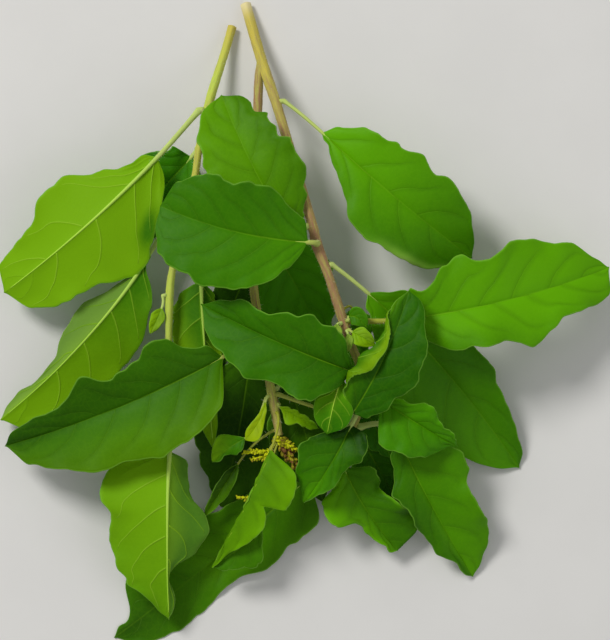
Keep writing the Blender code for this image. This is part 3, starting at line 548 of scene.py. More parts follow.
def joint_on_stem(leaf, towards, thick):
    """Where a petiole leaves the stem, and the middle of the stem there."""
    centres, radii = stem_line(leaf.stem, 4)
    index = int(np.argmin(np.linalg.norm(centres - np.array(leaf.joint), axis=1)))
    centre, radius = centres[index], radii[index]
    along = unit(centres[min(index + 1, len(centres) - 1)] - centres[max(index - 1, 0)])
    out = towards - centre
    sideways = unit(out - along * (out @ along) * 0.8)
    lean = math.sqrt(max(1 - (unit(out) @ sideways) ** 2, 0))
    return centre + sideways * (radius * 1.08 + PIECE_GAP + thick * lean), centre


def midrib(leaf, s):
    """Points of the midrib at s, from 0 at the base to 1 at the tip, and its directions."""
    base, middle, tip = np.array(leaf.base), np.array(leaf.middle), np.array(leaf.tip)
    bend = 2 * middle - (base + tip) / 2
    s = np.asarray(s, float)[..., None]
    return bent_line(base, bend, tip, s), unit((bend - base) * (1 - s) + (tip - bend) * s)


class Blade:
    """The form of one leaf's blade, as functions of s along it and t across it, in millimetres."""

    def __init__(self, index, settings):
        self.leaf = leaf = LEAVES[index]
        self.look = look = LOOKS[leaf.name]
        self.face = -1.0 if leaf.underside_up else 1.0
        self.quilting = settings.quilting / MM
        self.thickness = settings.blade_thickness / MM
        random = np.random.default_rng(FIRST_LEAF_SEED + index)
        self.tooth_gain = random.uniform(0.6, 1.45, (2, leaf.teeth + 1))
        self.waves = np.column_stack([
            random.uniform(5, 16, 5), random.uniform(-5, 5, 5), random.uniform(0, 2 * np.pi, 5)])
        self.margin_phase = random.uniform(0, 2 * np.pi, 2)
        pairs = look.pairs
        starts = FIRST_VEIN + np.arange(pairs) * VEINED_SHARE / pairs
        shift = random.uniform(-0.1, 0.1, (2, pairs)) * VEINED_SHARE / pairs
        self.vein_starts = [starts + shift[0], starts + 0.32 / pairs + shift[1]]
        if look.veins:
            self.vein_starts = [np.array(starts) for starts in look.veins]
        length = run_along(midrib(leaf, np.linspace(0, 1, 60))[0])[-1]
        self.reach = (np.mean(leaf.left) + np.mean(leaf.right)) / 2 / length
        self.pitch = 0.72 * length * VEINED_SHARE / pairs

    def saw(self, turns):
        """One tooth for each turn, from -0.5 to 0.5, steeper on the side of the tip."""
        place = turns % 1.0
        rise = np.sin(np.pi / 2 * np.minimum(place / TOOTH_PEAK, 1))
        fall = np.cos(np.pi / 2 * np.clip((place - TOOTH_PEAK) / (1 - TOOTH_PEAK), 0, 1)) ** 0.7
        return np.where(place < TOOTH_PEAK, rise, fall) - 0.5

    def half_width(self, s, side):
        """How wide the left half, side -1, or the right half, side 1, is with its teeth."""
        leaf = self.leaf
        half = int(side > 0)
        margin = MARGINS.get(leaf.name, (None, None))[half]
        if margin:
            width = smooth_line((0.0, *margin, 0.0), s * (len(margin) + 1))
            crimped = 0.2 * leaf.tooth * self.saw(s * leaf.teeth * 2.2 + self.margin_phase[half])
            return np.maximum(width + crimped * np.clip(np.minimum(8 * s, 6 * (1 - s)), 0, 1), 0.12)
        widths = (0.0, *(leaf.right if half else leaf.left), 0.0)
        steps = len(widths) - 1
        width = np.maximum(smooth_line(widths, s * steps), 0)
        to_end = np.clip(np.minimum(s, 1 - s) * steps, 1e-4, 1)
        width = width * to_end ** (leaf.blunt - 1)
        tooth = self.saw(s * leaf.teeth)
        gain = self.tooth_gain[half][np.minimum((s * leaf.teeth).astype(int), leaf.teeth)]
        fine = 0.09 * np.sin(2 * np.pi * s * leaf.teeth * 2.6 + self.margin_phase[half])
        near_ends = np.minimum(1.0, np.minimum(5 * s, 6 * (1 - s)))
        notched = width + (leaf.tooth * tooth * gain + fine * leaf.tooth) * near_ends
        return np.maximum(notched, NARROWEST_HALF_BLADE * np.where(s > 0.98, 0.4, 1))

    def half_section(self, s, share, side):
        """How far out and how far up points of one half lie. Share is 0 at the rib, 1 at the margin."""
        leaf = self.leaf
        reach = self.half_width(s, side)
        fold = leaf.fold_right if side > 0 else leaf.fold_left
        roll_start = smooth_line(leaf.roll_starts, s * (len(leaf.roll_starts) - 1))
        step = share / SECTION_STEPS
        out, up = np.zeros(np.broadcast(reach, share).shape), 0.0
        for i in range(SECTION_STEPS):
            place = (i + 0.5) * step
            angle = fold - 0.5 * fold * place
            if side < 0 and leaf.roll_left:
                angle = angle + leaf.roll_left * np.clip((place - roll_start) / ROLL_SPAN, 0, 1)
            out = out + np.cos(np.radians(angle)) * step * reach
            up = up + np.sin(np.radians(angle)) * step * reach
        return out, up

    def plain_point(self, s, t):
        """Points of the plain middle surface, without quilting or fine waves."""
        leaf = self.leaf
        centre, along = midrib(leaf, s)
        level = unit(np.cross(along, UP))
        upward = unit(np.cross(level, along))
        right = t >= 0
        out, up = 0.0, 0.0
        for side, mine in ((1, right), (-1, ~right)):
            o, u = self.half_section(s, np.abs(t), side)
            out = out + np.where(mine, o * side, 0)
            up = up + np.where(mine, u, 0)
        ripple = leaf.wave * t * t * np.sin(2 * np.pi * (leaf.waves * s + leaf.phase + 0.37 * right))
        ripple = ripple * np.sqrt(np.maximum(np.sin(np.pi * np.clip(s, 0, 1)), 0))
        return centre + level * out[..., None] + upward * (up + ripple)[..., None]

    def vein_phase(self, s, t):
        """A whole number on each side vein, and what lies between them across the panels."""
        share = np.abs(t)
        back = s - self.sweep(share)
        phases = []
        for starts in self.vein_starts:
            count = len(starts)
            gap = starts[1] - starts[0]
            inside = np.interp(back, starts, np.arange(count))
            before = np.minimum(back - starts[0], 0) / gap
            after = np.maximum(back - starts[-1], 0) / gap
            phases.append(inside + before + after)
        return np.where(t >= 0, phases[1], phases[0])

    def sweep(self, share):
        """How far towards the tip a side vein has come on its way to the margin."""
        return self.reach * (VEIN_SWEEP[0] * share + VEIN_SWEEP[1] * share ** 2)

    def relief(self, s, t):
        """How far the blade stands off its plain form towards its upper side."""
        share = np.abs(t)
        panel = np.abs(np.sin(np.pi * self.vein_phase(s, t))) ** 0.7
        inner = np.clip(share / 0.16, 0, 1)
        outer = 1 - np.clip((share - 0.72) / 0.28, 0, 1)
        ends = np.clip(s / 0.08, 0, 1) * np.clip((1 - s) / 0.12, 0, 1)
        rise = self.quilting * (panel * inner * (0.25 + 0.75 * outer) - 0.4) * ends
        channel = -0.8 * self.quilting * np.exp(-(share * 26) ** 2) * np.clip((1 - s) / 0.5, 0, 1)
        slow = sum(np.sin(a * s + b * t + c) for a, b, c in self.waves) / len(self.waves)
        crimp = np.sin(2 * np.pi * self.leaf.teeth * s + self.margin_phase[0]) * share ** 4
        small = 0.35 if self.leaf.small else 1.0
        return (rise + channel + 0.3 * slow * share ** 0.5 + 0.22 * crimp * ends) * small

    def surface(self, s, t):
        """Points of the finished middle surface, and the directions towards the leaf's upper side."""
        s, t = np.broadcast_arrays(np.asarray(s, float), np.asarray(t, float))
        step = 0.004
        ahead, behind = np.minimum(s + step, 1), np.maximum(s - step, 0)
        right, left = np.minimum(t + step, 1), np.maximum(t - step, -1)
        lengthwise = self.plain_point(ahead, t) - self.plain_point(behind, t)
        crosswise = self.plain_point(s, right) - self.plain_point(s, left)
        upper = unit(np.cross(crosswise, lengthwise)) * self.face
        point = self.plain_point(s, t) + upper * self.relief(s, t)[..., None]
        point[..., 2] = np.maximum(point[..., 2], LOWEST_BLADE)
        return point, upper

    def tone(self, s, t):
        """How light the green is at each place, painted light and shade included."""
        look = self.look
        side = np.where(t >= 0, look.right, look.left) * np.abs(t)
        return look.base + (look.tip - look.base) * s + side + self.patched(look.patches, s, t)

    def patched(self, patches, s, t):
        """What the patches add at each place. Tone patches are painted light and shade; pale patches are
        more bloom.
        """
        return sum(added * np.exp(-((s - at_s) / reach_s) ** 2 - ((t - at_t) / reach_t) ** 2)
                   for at_s, at_t, reach_s, reach_t, added in patches)

    def pale(self, s, t):
        """How much greyish bloom lies at each place."""
        halves = np.where(t >= 0, self.look.pale_right, self.look.pale_left)
        return halves * np.clip(np.abs(t) / 0.08, 0, 1) + self.patched(self.look.pale_patches, s, t)

    def stalk_radius(self):
        return self.look.stalk or (SMALL_PETIOLE_RADIUS if self.leaf.small else PETIOLE_RADIUS)

    def rib_distance(self, s, t):
        width = np.where(t >= 0, self.half_width(s, 1), self.half_width(s, -1))
        return np.abs(t) * width


class Body:
    """Gathers shells for one mesh, with the values that the finishes read at each point."""

    VALUES = ("tone", "share", "rib_distance", "vein_phase", "vein_pitch", "pale", "ochre", "warm")

    def __init__(self):
        self.points, self.faces, self.slots, self.lies = [], [], [], []
        self.values = {name: [] for name in self.VALUES}
        self.count = 0

    def add(self, points, faces, slot, lie=None, **values):
        points = np.array(points, float).reshape(-1, 3)
        points[:, 2] = np.maximum(points[:, 2], LOWEST_POINT)
        self.points.append(points)
        self.faces += [tuple(int(i) + self.count for i in face) for face in faces]
        self.slots += [slot] * len(faces) if np.ndim(slot) == 0 else list(slot)
        self.lies.append(np.zeros((len(points), 3)) if lie is None else lie)
        for name in self.VALUES:
            value = np.asarray(values.get(name, 0.0), float).reshape(-1)
            self.values[name].append(np.full(len(points), value[0]) if value.size == 1 else value)
        self.count += len(points)

    def make(self, name, materials):
        mesh = bpy.data.meshes.new(name)
        mesh.from_pydata((np.concatenate(self.points) * MM).tolist(), [], self.faces)
        for finish in materials:
            mesh.materials.append(finish)
        mesh.polygons.foreach_set("material_index", np.array(self.slots, np.int32))
        for value, parts in self.values.items():
            held = mesh.attributes.new(value, "FLOAT", "POINT")
            held.data.foreach_set("value", np.concatenate(parts).astype(np.float32))
        held = mesh.attributes.new("lie", "FLOAT_VECTOR", "POINT")
        held.data.foreach_set("vector", np.concatenate(self.lies).astype(np.float32).ravel())
        mesh.shade_smooth()
        mesh.update()
        obj = bpy.data.objects.new(name, mesh)
        bpy.context.scene.collection.objects.link(obj)
        return obj


def over_tube(values, sides):
    """A value of each ring of a tube, for all its points and the middles of its two ends."""
    return np.concatenate([np.repeat(values, sides), values[[0, -1]]])


def tube(centres, radii, sides, ridges=0.0):
    """Points, faces and lie of a swept tube. Lie is where a point is round the tube and along it."""
    centres = np.asarray(centres, float)
    radii = np.asarray(radii, float)
    tangents = unit(np.gradient(centres, axis=0))
    across = unit(np.cross(tangents[0], UP + np.array((0.1, 0.0, 0.0))))
    frames = []
    for tangent in tangents:
        across = unit(across - tangent * (across @ tangent))
        frames.append((across, np.cross(tangent, across)))
    turns = 2 * np.pi * np.arange(sides) / sides
    swell = 1 + ridges * np.cos(4 * turns)
    first, second = (np.array([f[i] for f in frames])[:, None] for i in (0, 1))
    spread = radii[:, None, None] * swell[None, :, None]
    rings = centres[:, None] + spread * (
        first * np.cos(turns)[None, :, None] + second * np.sin(turns)[None, :, None])
    count = len(centres)
    run = run_along(centres)
    lie = np.stack(np.broadcast_arrays(
        np.cos(turns)[None, :], np.sin(turns)[None, :], run[:, None]), -1).reshape(-1, 3)
    points = rings.reshape(-1, 3)
    faces = []
    for i in range(count - 1):
        for j in range(sides):
            k = (j + 1) % sides
            faces.append((i * sides + j, i * sides + k, (i + 1) * sides + k, (i + 1) * sides + j))
    for end in (0, count - 1):
        points = np.vstack([points, centres[end]])
        lie = np.vstack([lie, (0, 0, run[end])])
        hub = len(points) - 1
        for j in range(sides):
            here, after = end * sides + j, end * sides + (j + 1) % sides
            faces.append((after, here, hub) if end == 0 else (here, after, hub))
    return points, faces, lie


def blade_shell(blade, rows, half_columns):
    """The closed shell of a blade: its two faces and the round margin between them."""
    even = np.linspace(0, 1, rows)
    s = (0.6 * even + 0.4 * (0.5 - 0.5 * np.cos(np.pi * even)))[:, None]
    half = np.linspace(0, 1, half_columns + 1) ** 1.3
    t = np.concatenate([-half[:0:-1], half])[None, :]
    middle, upper = blade.surface(s, t)
    s, t = np.broadcast_arrays(s, t)
    rising = upper * blade.face
    thick = blade.thickness * (1 - 0.25 * t ** 2)[..., None]
    top, under = middle + rising * thick / 2, middle - rising * thick / 2
    columns = t.shape[1]
    index = np.arange(rows * columns).reshape(rows, columns)
    quads = np.stack([index[:-1, :-1], index[:-1, 1:], index[1:, 1:], index[1:, :-1]], -1).reshape(-1, 4)
    loop = np.concatenate([index[0, :-1], index[:-1, -1], index[-1, :0:-1], index[:0:-1, 0]])
    inner = np.concatenate([index[1, :-1], index[:-1, -2], index[-2, :0:-1], index[:0:-1, 1]])
    flat = middle.reshape(-1, 3)
    outward = unit(flat[loop] - flat[inner]) * thick.reshape(-1, 1)[loop] * 0.45
    count = rows * columns
    points = np.vstack([top.reshape(-1, 3), under.reshape(-1, 3), flat[loop] + outward])
    rim = 2 * count + np.arange(len(loop))
    after = np.roll(rim, -1)
    loop_after = np.roll(loop, -1)
    faces = np.vstack([
        quads, quads[:, ::-1] + count,
        np.stack([rim, after, loop_after, loop], -1),
        np.stack([loop + count, loop_after + count, after, rim], -1)])
    up_slot, down_slot = (1, 0) if blade.leaf.underside_up else (0, 1)
    slots = np.concatenate([
        np.full(len(quads), up_slot), np.full(len(quads), down_slot),
        np.full(len(loop), 0), np.full(len(loop), 1)])

    def spread(values):
        values = values.reshape(-1)
        return np.concatenate([values, values, values[loop]])

    return points, faces.tolist(), slots, {
        "tone": spread(blade.tone(s, t)),
        "pale": spread(blade.pale(s, t)),
        "warm": spread(blade.look.warm + blade.look.warm_left * np.clip(-t, 0, 1)),
        "share": spread(np.abs(t)),
        "rib_distance": spread(blade.rib_distance(s, t)),
        "vein_phase": spread(blade.vein_phase(s, t)),
        "vein_pitch": blade.pitch,
    }


def petiole_and_midrib(blade):
    """Centres, radii and leaf share of the stalk, from inside the stem to the end of the midrib."""
    leaf = blade.leaf
    thick = blade.stalk_radius()
    rib_s = np.linspace(0, 0.96, 40)[1:]
    rib, upper = blade.surface(rib_s, np.zeros_like(rib_s))
    end = 0.06 if leaf.small else 0.1
    start_radius = min(thick * 0.9, 0.52)
    rib_radius = end + (start_radius - end) * (1 - rib_s) ** (1.7 if leaf.underside_up else 1.8)
    sink = blade.thickness * 0.5 + rib_radius * (-0.25 if leaf.underside_up else 0.35)
    rib = rib - upper * (np.clip(rib_s / 0.12, 0, 1) * sink)[:, None]
    leafy = 0.25 + 0.75 * rib_s ** 0.5
    if not leaf.stem:
        return rib, rib_radius, leafy
    base, along = midrib(leaf, 0.0)
    bend = base - along * np.linalg.norm(base - np.array(leaf.joint)) * leaf.bow
    start, core = joint_on_stem(leaf, bend, thick)
    u = np.linspace(0, 1, STALK_STEPS)[:, None]
    stalk = bent_line(start, bend, base, u)
    into_stem = core + (start - core) * np.array([[0.45], [0.75]])
    flare = thick * (1 - 0.12 * u[:, 0]) * (1 + 0.35 * np.exp(-u[:, 0] * 14))
    centres = np.vstack([into_stem, stalk, rib])
    radii = np.concatenate([[thick * 1.3, thick * 1.35], flare, rib_radius])
    return centres, radii, np.concatenate([np.zeros(STALK_STEPS + 2), leafy])


def side_vein(blade, side, start):
    """Centres, radii and tones of one raised vein under the blade, or None where there is no room."""
    share = np.linspace(0.02, 0.9, 22)
    s = start + blade.sweep(share)
    keep = s < 0.95
    share, s = share[keep], s[keep]
    if len(share) < 6:
        return None
    point, upper = blade.surface(s, share * side)
    radius = np.linspace(0.24, 0.1, len(share))
    return point - upper * (blade.thickness * 0.5 - 0.12), radius, blade.tone(s, share * side)


def make_leaf(index, settings):
    """One leaf: its blade, its petiole and midrib, and its raised side veins."""
    blade = Blade(index, settings)
    leaf, look = blade.leaf, blade.look
    body = Body()
    fineness = (settings.rows, settings.half_columns)
    if leaf.small:
        fineness = (SMALL_ROWS, SMALL_HALF_COLUMNS)
    points, faces, slots, values = blade_shell(blade, *fineness)
    body.add(points, faces, slots, **values)
    centres, radii, leafy = petiole_and_midrib(blade)
    sides = 8 if leaf.small else 12
    points, faces, lie = tube(centres, radii, sides)
    body.add(points, faces, 2, lie, tone=look.base, share=over_tube(leafy, sides), ochre=look.ochre)
    for side, starts in zip((-1, 1), blade.vein_starts):
        for start in starts:
            vein = side_vein(blade, side, start)
            if vein:
                centres, radii, tones = vein
                points, faces, lie = tube(centres, radii, VEIN_SIDES)
                body.add(points, faces, 3, lie, tone=over_tube(tones, VEIN_SIDES), share=1.0,
                         warm=look.warm)
    finishes = ["leaf_young_top", "leaf_young_under"] if leaf.young else ["leaf_upper", "leaf_under"]
    finishes += ["petiole", "side_vein"]
    obj = body.make(leaf.name + "_blade", [bpy.data.materials[name] for name in finishes])
    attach(obj, "root")
    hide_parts(leaf.part_of or leaf.name)


def make_leaves(young, settings):
    """All the young leaves, or all the grown ones."""
    for index, leaf in enumerate(LEAVES):
        if leaf.young == young:
            make_leaf(index, settings)


def slim_stem(stem, per_span):
    """Centres and radii of a stem as it is seen, a little slimmer than its solid and uneven."""
    centres, radii = stem_line(stem, per_span)
    run = run_along(centres)
    uneven = 1 + 0.02 * np.sin(run * 1.9) + 0.015 * np.sin(run * 4.3 + 1.0)
    return centres, radii * STEM_LOOKS[stem]["slim"] * uneven


def stem_body(stem, settings):
    """One stem's bark and the pale pith at its cut end."""
    centres, radii = slim_stem(stem, 14)
    along = np.linspace(0, 1, len(centres))
    sides = settings.ring_sides
    body = Body()
    points, faces, lie = tube(centres, radii, sides, settings.ridge_depth)
    look = STEM_LOOKS[stem]
    marks = np.linspace(0, 1, len(look["woody"]))
    woody = np.interp(along, marks, look["woody"])
    straw = np.interp(along, marks, look["straw"])
    cream = look["cream"] * np.exp(-(run_along(centres) / 2.6) ** 2)
    # The faces of the first end, the cut one, come before those of the last end
    slots = np.zeros(len(faces), int)
    slots[-2 * sides:-sides] = 1
    body.add(points, faces, slots, lie, tone=over_tube(woody, sides), share=over_tube(straw, sides),
             pale=over_tube(cream, sides))
    return body


def add_node(tree, kind, inputs=None, **settings):
    """A shader or geometry node with its settings, and its inputs linked or set."""
    node = tree.nodes.new(kind)
    for name, value in settings.items():
        setattr(node, name, value)
    for key, value in (inputs or {}).items():
        if isinstance(value, bpy.types.NodeSocket):
            tree.links.new(value, node.inputs[key])
        else:
            node.inputs[key].default_value = value
    return node


def maths(tree, operation, a, b=0.0, clamp=False):
    return add_node(tree, "ShaderNodeMath", {0: a, 1: b}, operation=operation, use_clamp=clamp).outputs[0]


def mix_colours(tree, factor, a, b, blend="MIX"):
    node = add_node(tree, "ShaderNodeMix", {0: factor, 6: a, 7: b}, data_type="RGBA", blend_type=blend)
    return node.outputs[2]


def combine(tree, x, y, z):
    return add_node(tree, "ShaderNodeCombineXYZ", {0: x, 1: y, 2: z}).outputs[0]


def ramp_value(tree, value, low, high, to_low=0.0, to_high=1.0):
    inputs = {"Value": value, "From Min": low, "From Max": high, "To Min": to_low, "To Max": to_high}
    node = add_node(tree, "ShaderNodeMapRange", inputs, interpolation_type="SMOOTHSTEP")
    return node.outputs["Result"]


def read_value(tree, name):
    return add_node(tree, "ShaderNodeAttribute", attribute_name=name).outputs["Fac"]


def noise(tree, scale, detail=3.0, roughness=0.5, vector=None):
    if vector is None:
        vector = add_node(tree, "ShaderNodeTexCoord").outputs["Object"]
    inputs = {"Vector": vector, "Scale": scale, "Detail": detail, "Roughness": roughness}
    return add_node(tree, "ShaderNodeTexNoise", inputs).outputs["Fac"]


def new_group(name, inputs, outputs):
    """A shader node group, with (name, kind, default) inputs and (name, kind) outputs."""
    group = bpy.data.node_groups.new(name, "ShaderNodeTree")
    for title, kind, default in inputs:
        socket = group.interface.new_socket(title, in_out="INPUT", socket_type=kind)
        socket.default_value = default
    for title, kind in outputs:
        group.interface.new_socket(title, in_out="OUTPUT", socket_type=kind)
    return group, group.nodes.new("NodeGroupInput"), group.nodes.new("NodeGroupOutput")


def use_group(tree, name, **inputs):
    node = tree.nodes.new("ShaderNodeGroup")
    node.node_tree = bpy.data.node_groups[name]
    for key, value in inputs.items():
        title = key.replace("_", " ")
        if isinstance(value, bpy.types.NodeSocket):
            tree.links.new(value, node.inputs[title])
        else:
            node.inputs[title].default_value = value
    return node


def make_vein_lines_group():
    """Masks of the midrib, the side veins and the fine net between them."""
    group, given, result = new_group(
        "vein lines",
        [("Rib Width", "NodeSocketFloat", 0.3), ("Vein Width", "NodeSocketFloat", 0.2)],
        [("Rib", "NodeSocketFloat"), ("Veins", "NodeSocketFloat"), ("Near Veins", "NodeSocketFloat"),
         ("Net", "NodeSocketFloat"), ("Margin", "NodeSocketFloat")])
    distance = read_value(group, "rib_distance")
    share = read_value(group, "share")
    phase = read_value(group, "vein_phase")
    pitch = read_value(group, "vein_pitch")
    wobble = maths(group, "MULTIPLY", maths(group, "SUBTRACT", noise(group, 900.0, 2.0), 0.5), 0.05)
    phase = maths(group, "ADD", phase, wobble)
    off = maths(group, "ABSOLUTE", maths(group, "SUBTRACT", phase, maths(group, "ROUND", phase)))
    off = maths(group, "MULTIPLY", off, pitch)
    vein_width = maths(group, "MULTIPLY", given.outputs["Vein Width"],
                       ramp_value(group, share, 0.0, 0.9, 1.0, 0.45))
    lines = ramp_value(group, maths(group, "DIVIDE", off, vein_width), 0.35, 1.2, 1.0, 0.0)
    fade = ramp_value(group, share, 0.6, 0.92, 1.0, 0.0)
    veins = maths(group, "MULTIPLY", lines, fade)
    # How near each place lies to a side vein: the mask of the painted shade along the sunken veins on top
    vein_groove_shade = maths(group, "MULTIPLY", ramp_value(group, off, 0.15, 1.3, 1.0, 0.0), fade)
    group.links.new(vein_groove_shade, result.inputs["Near Veins"])
    rib = maths(group, "DIVIDE", distance, given.outputs["Rib Width"])
    rib = ramp_value(group, rib, 0.4, 1.2, 1.0, 0.0)
    # The midrib is pale near the base and fades past the second pair of veins
    rib = maths(group, "MULTIPLY", rib, ramp_value(group, phase, 0.2, 2.4, 1.0, 0.3))
    place = add_node(group, "ShaderNodeTexCoord").outputs["Object"]
    shaken = add_node(group, "ShaderNodeTexNoise", {"Vector": place, "Scale": 500.0, "Detail": 2.0})
    bent = add_node(group, "ShaderNodeVectorMath", {0: shaken.outputs["Color"], 3: 0.0012},
                    operation="SCALE")
    moved = add_node(group, "ShaderNodeVectorMath", {0: place, 1: bent.outputs[0]}, operation="ADD")
    cells = add_node(group, "ShaderNodeTexVoronoi", {"Vector": moved.outputs[0], "Scale": 620.0},
                     feature="DISTANCE_TO_EDGE")
    net = ramp_value(group, cells.outputs["Distance"], 0.0, 0.14, 1.0, 0.0)
    group.links.new(rib, result.inputs["Rib"])
    group.links.new(veins, result.inputs["Veins"])
    group.links.new(net, result.inputs["Net"])
    group.links.new(ramp_value(group, share, 0.975, 1.0), result.inputs["Margin"])


def make_blade_green_group():
    """The green of a blade from its tone, which holds painted light and shade, mottled, from deep through
    middle to bright.
    """
    group, given, result = new_group(
        "blade green",
        [("Deep", "NodeSocketColor", (0, 0, 0, 1)), ("Middle", "NodeSocketColor", (0, 0, 0, 1)),
         ("Bright", "NodeSocketColor", (0, 0, 0, 1)), ("Mottle", "NodeSocketFloat", 0.1)],
        [("Color", "NodeSocketColor")])
    tone = read_value(group, "tone")
    patches = maths(group, "SUBTRACT", noise(group, 90.0, 3.0, 0.6), 0.5)
    grain = maths(group, "SUBTRACT", noise(group, 1500.0, 3.0, 0.6), 0.5)
    mottle = maths(group, "ADD", maths(group, "MULTIPLY", patches, 2.0), grain)
    mottle = maths(group, "MULTIPLY", mottle, given.outputs["Mottle"])
    tone = maths(group, "ADD", tone, mottle, clamp=True)
    colour = given.outputs["Deep"]
    for shade, low, high in (("Middle", 0.0, 0.5), ("Bright", 0.5, 1.0)):
        colour = mix_colours(group, ramp_value(group, tone, low, high), colour, given.outputs[shade])
    # Above 0, more red makes the green yellower
    warmth = maths(group, "ADD", read_value(group, "warm"), 1.0)
    warmed = combine(group, warmth, 1.0, 1.0)
    colour = add_node(group, "ShaderNodeVectorMath", {0: colour, 1: warmed}, operation="MULTIPLY")
    group.links.new(colour.outputs[0], result.inputs["Color"])


def make_streaks_group():
    """Fine lengthwise streaks on a stalk, from 0 to 1."""
    group, given, result = new_group(
        "stalk streaks", [("Fineness", "NodeSocketFloat", 3.0)],
        [("Streaks", "NodeSocketFloat"), ("Grain", "NodeSocketFloat")])
    lie = add_node(group, "ShaderNodeAttribute", attribute_name="lie").outputs["Vector"]
    stretched = add_node(group, "ShaderNodeVectorMath", {0: lie, 1: (1.0, 1.0, 0.09)},
                         operation="MULTIPLY").outputs[0]
    streaks = noise(group, given.outputs["Fineness"], 4.0, 0.6, stretched)
    group.links.new(streaks, result.inputs["Streaks"])
    group.links.new(noise(group, 2600.0, 3.0, 0.6), result.inputs["Grain"])


def new_finish(name, roughness, specular=0.3):
    finish = bpy.data.materials.new(name)
    finish.use_nodes = True
    tree = finish.node_tree
    shader = tree.nodes["Principled BSDF"]
    shader.inputs["Roughness"].default_value = roughness
    shader.inputs["Specular IOR Level"].default_value = specular
    return tree, shader


def give_bump(tree, shader, height, distance):
    bump = add_node(tree, "ShaderNodeBump", {"Height": height, "Strength": 1.0, "Distance": distance})
    tree.links.new(bump.outputs["Normal"], shader.inputs["Normal"])


def give_bark_bump(tree, shader, streaks, grain_share, distance):
    """A bump from the streaks of a stalk and a share of their grain."""
    grain = maths(tree, "MULTIPLY", streaks.outputs["Grain"], grain_share)
    give_bump(tree, shader, maths(tree, "ADD", streaks.outputs["Streaks"], grain), distance)


def make_blade_finish(name, colours, mottle, vein_colour, rib_width, vein_width, strengths,
                      roughness, raised):
    """Strengths are how far the net, the side veins and the midrib are tinted."""
    deep, middle, bright = ((*colour, 1) for colour in colours)
    tree, shader = new_finish(name, roughness, 0.08)
    green = use_group(tree, "blade green", Deep=deep, Middle=middle, Bright=bright, Mottle=mottle)
    lines = use_group(tree, "vein lines", Rib_Width=rib_width, Vein_Width=vein_width)
    vein = (*vein_colour, 1)
    colour = green.outputs["Color"]
    # On a top face, painted shade along the sunken side veins: the green darkens towards deep near them
    if not raised:
        vein_groove_shade = maths(tree, "MULTIPLY", lines.outputs["Near Veins"], 0.26)
        colour = mix_colours(tree, vein_groove_shade, colour, mix_colours(tree, 0.5, colour, deep))
    for line, strength in zip(("Net", "Veins", "Rib"), strengths):
        colour = mix_colours(tree, maths(tree, "MULTIPLY", lines.outputs[line], strength), colour, vein)
    # A painted highlight: a paler rim along each margin
    rim = maths(tree, "MULTIPLY", lines.outputs["Margin"], 0.42)
    colour = mix_colours(tree, rim, colour, (0.24, 0.52, 0.05, 1))
    bloom = maths(tree, "MULTIPLY", read_value(tree, "pale"), 0.75)
    colour = mix_colours(tree, bloom, colour, (0.22, 0.36, 0.06, 1))
    tree.links.new(colour, shader.inputs["Base Color"])
    ridges = maths(tree, "MULTIPLY", lines.outputs["Net"], 0.15)
    ridges = maths(tree, "ADD", lines.outputs["Veins"], ridges)
    grain = maths(tree, "MULTIPLY", noise(tree, 5200.0, 2.0), 0.5)
    height = maths(tree, "ADD", maths(tree, "MULTIPLY", ridges, 1.0 if raised else -1.0), grain)
    give_bump(tree, shader, height, 0.00004)
    rough = maths(tree, "MULTIPLY_ADD", noise(tree, 1200.0, 2.0), 0.14)
    rough.node.inputs[2].default_value = roughness - 0.07
    tree.links.new(rough, shader.inputs["Roughness"])


def make_stalk_finish(name, colours, pale, ochre, rib, rib_green, leafiness, bump):
    """A stalk that goes over from its own pale colour to that of the rib and the green of the blade."""
    deep, middle, bright = ((*colour, 1) for colour in colours)
    tree, shader = new_finish(name, 0.55, 0.15)
    streaks = use_group(tree, "stalk streaks", Fineness=3.0)
    mixed = ramp_value(tree, streaks.outputs["Streaks"], 0.3, 0.7)
    stalk = mix_colours(tree, mixed, (*(0.82 * c for c in pale), 1), (*pale, 1))
    stalk = mix_colours(tree, read_value(tree, "ochre"), stalk, (*ochre, 1))
    green = use_group(tree, "blade green", Deep=deep, Middle=middle, Bright=bright, Mottle=0.08)
    share = maths(tree, "MULTIPLY", read_value(tree, "share"), leafiness)
    leafy = mix_colours(tree, rib_green, (*rib, 1), green.outputs["Color"])
    tree.links.new(mix_colours(tree, share, stalk, leafy), shader.inputs["Base Color"])
    give_bark_bump(tree, shader, streaks, 0.4, bump)


def make_bark_finish(colours, cream):
    tree, shader = new_finish("stem_bark", 0.6, 0.15)
    green, straw, woody = ((*colour, 1) for colour in colours)
    streaks = use_group(tree, "stalk streaks", Fineness=2.6)
    mixed = maths(tree, "SUBTRACT", streaks.outputs["Streaks"], 0.5)
    colour = green
    for value, mottle, bark in (("share", 1.2, straw), ("tone", -2.4, woody)):
        mottled = maths(tree, "MULTIPLY", mixed, mottle)
        share = maths(tree, "ADD", read_value(tree, value), mottled, clamp=True)
        colour = mix_colours(tree, share, colour, bark)
    speckle = ramp_value(tree, streaks.outputs["Grain"], 0.45, 0.75, 0.0, 0.25)
    colour = mix_colours(tree, speckle, colour, straw)
    colour = mix_colours(tree, read_value(tree, "pale"), colour, (*cream, 1))
    tree.links.new(colour, shader.inputs["Base Color"])
    give_bark_bump(tree, shader, streaks, 0.5, 0.00007)


def make_pith_finish(colour):
    tree, shader = new_finish("cut_pith", 0.8, 0.2)
    pores = add_node(tree, "ShaderNodeTexVoronoi", {"Scale": 4200.0,
                     "Vector": add_node(tree, "ShaderNodeTexCoord").outputs["Object"]})
    shade = ramp_value(tree, pores.outputs["Distance"], 0.1, 0.7)
    darker = tuple(0.7 * c for c in colour) + (1,)
    tree.links.new(mix_colours(tree, shade, darker, (*colour, 1)), shader.inputs["Base Color"])
    give_bump(tree, shader, pores.outputs["Distance"], 0.00008)


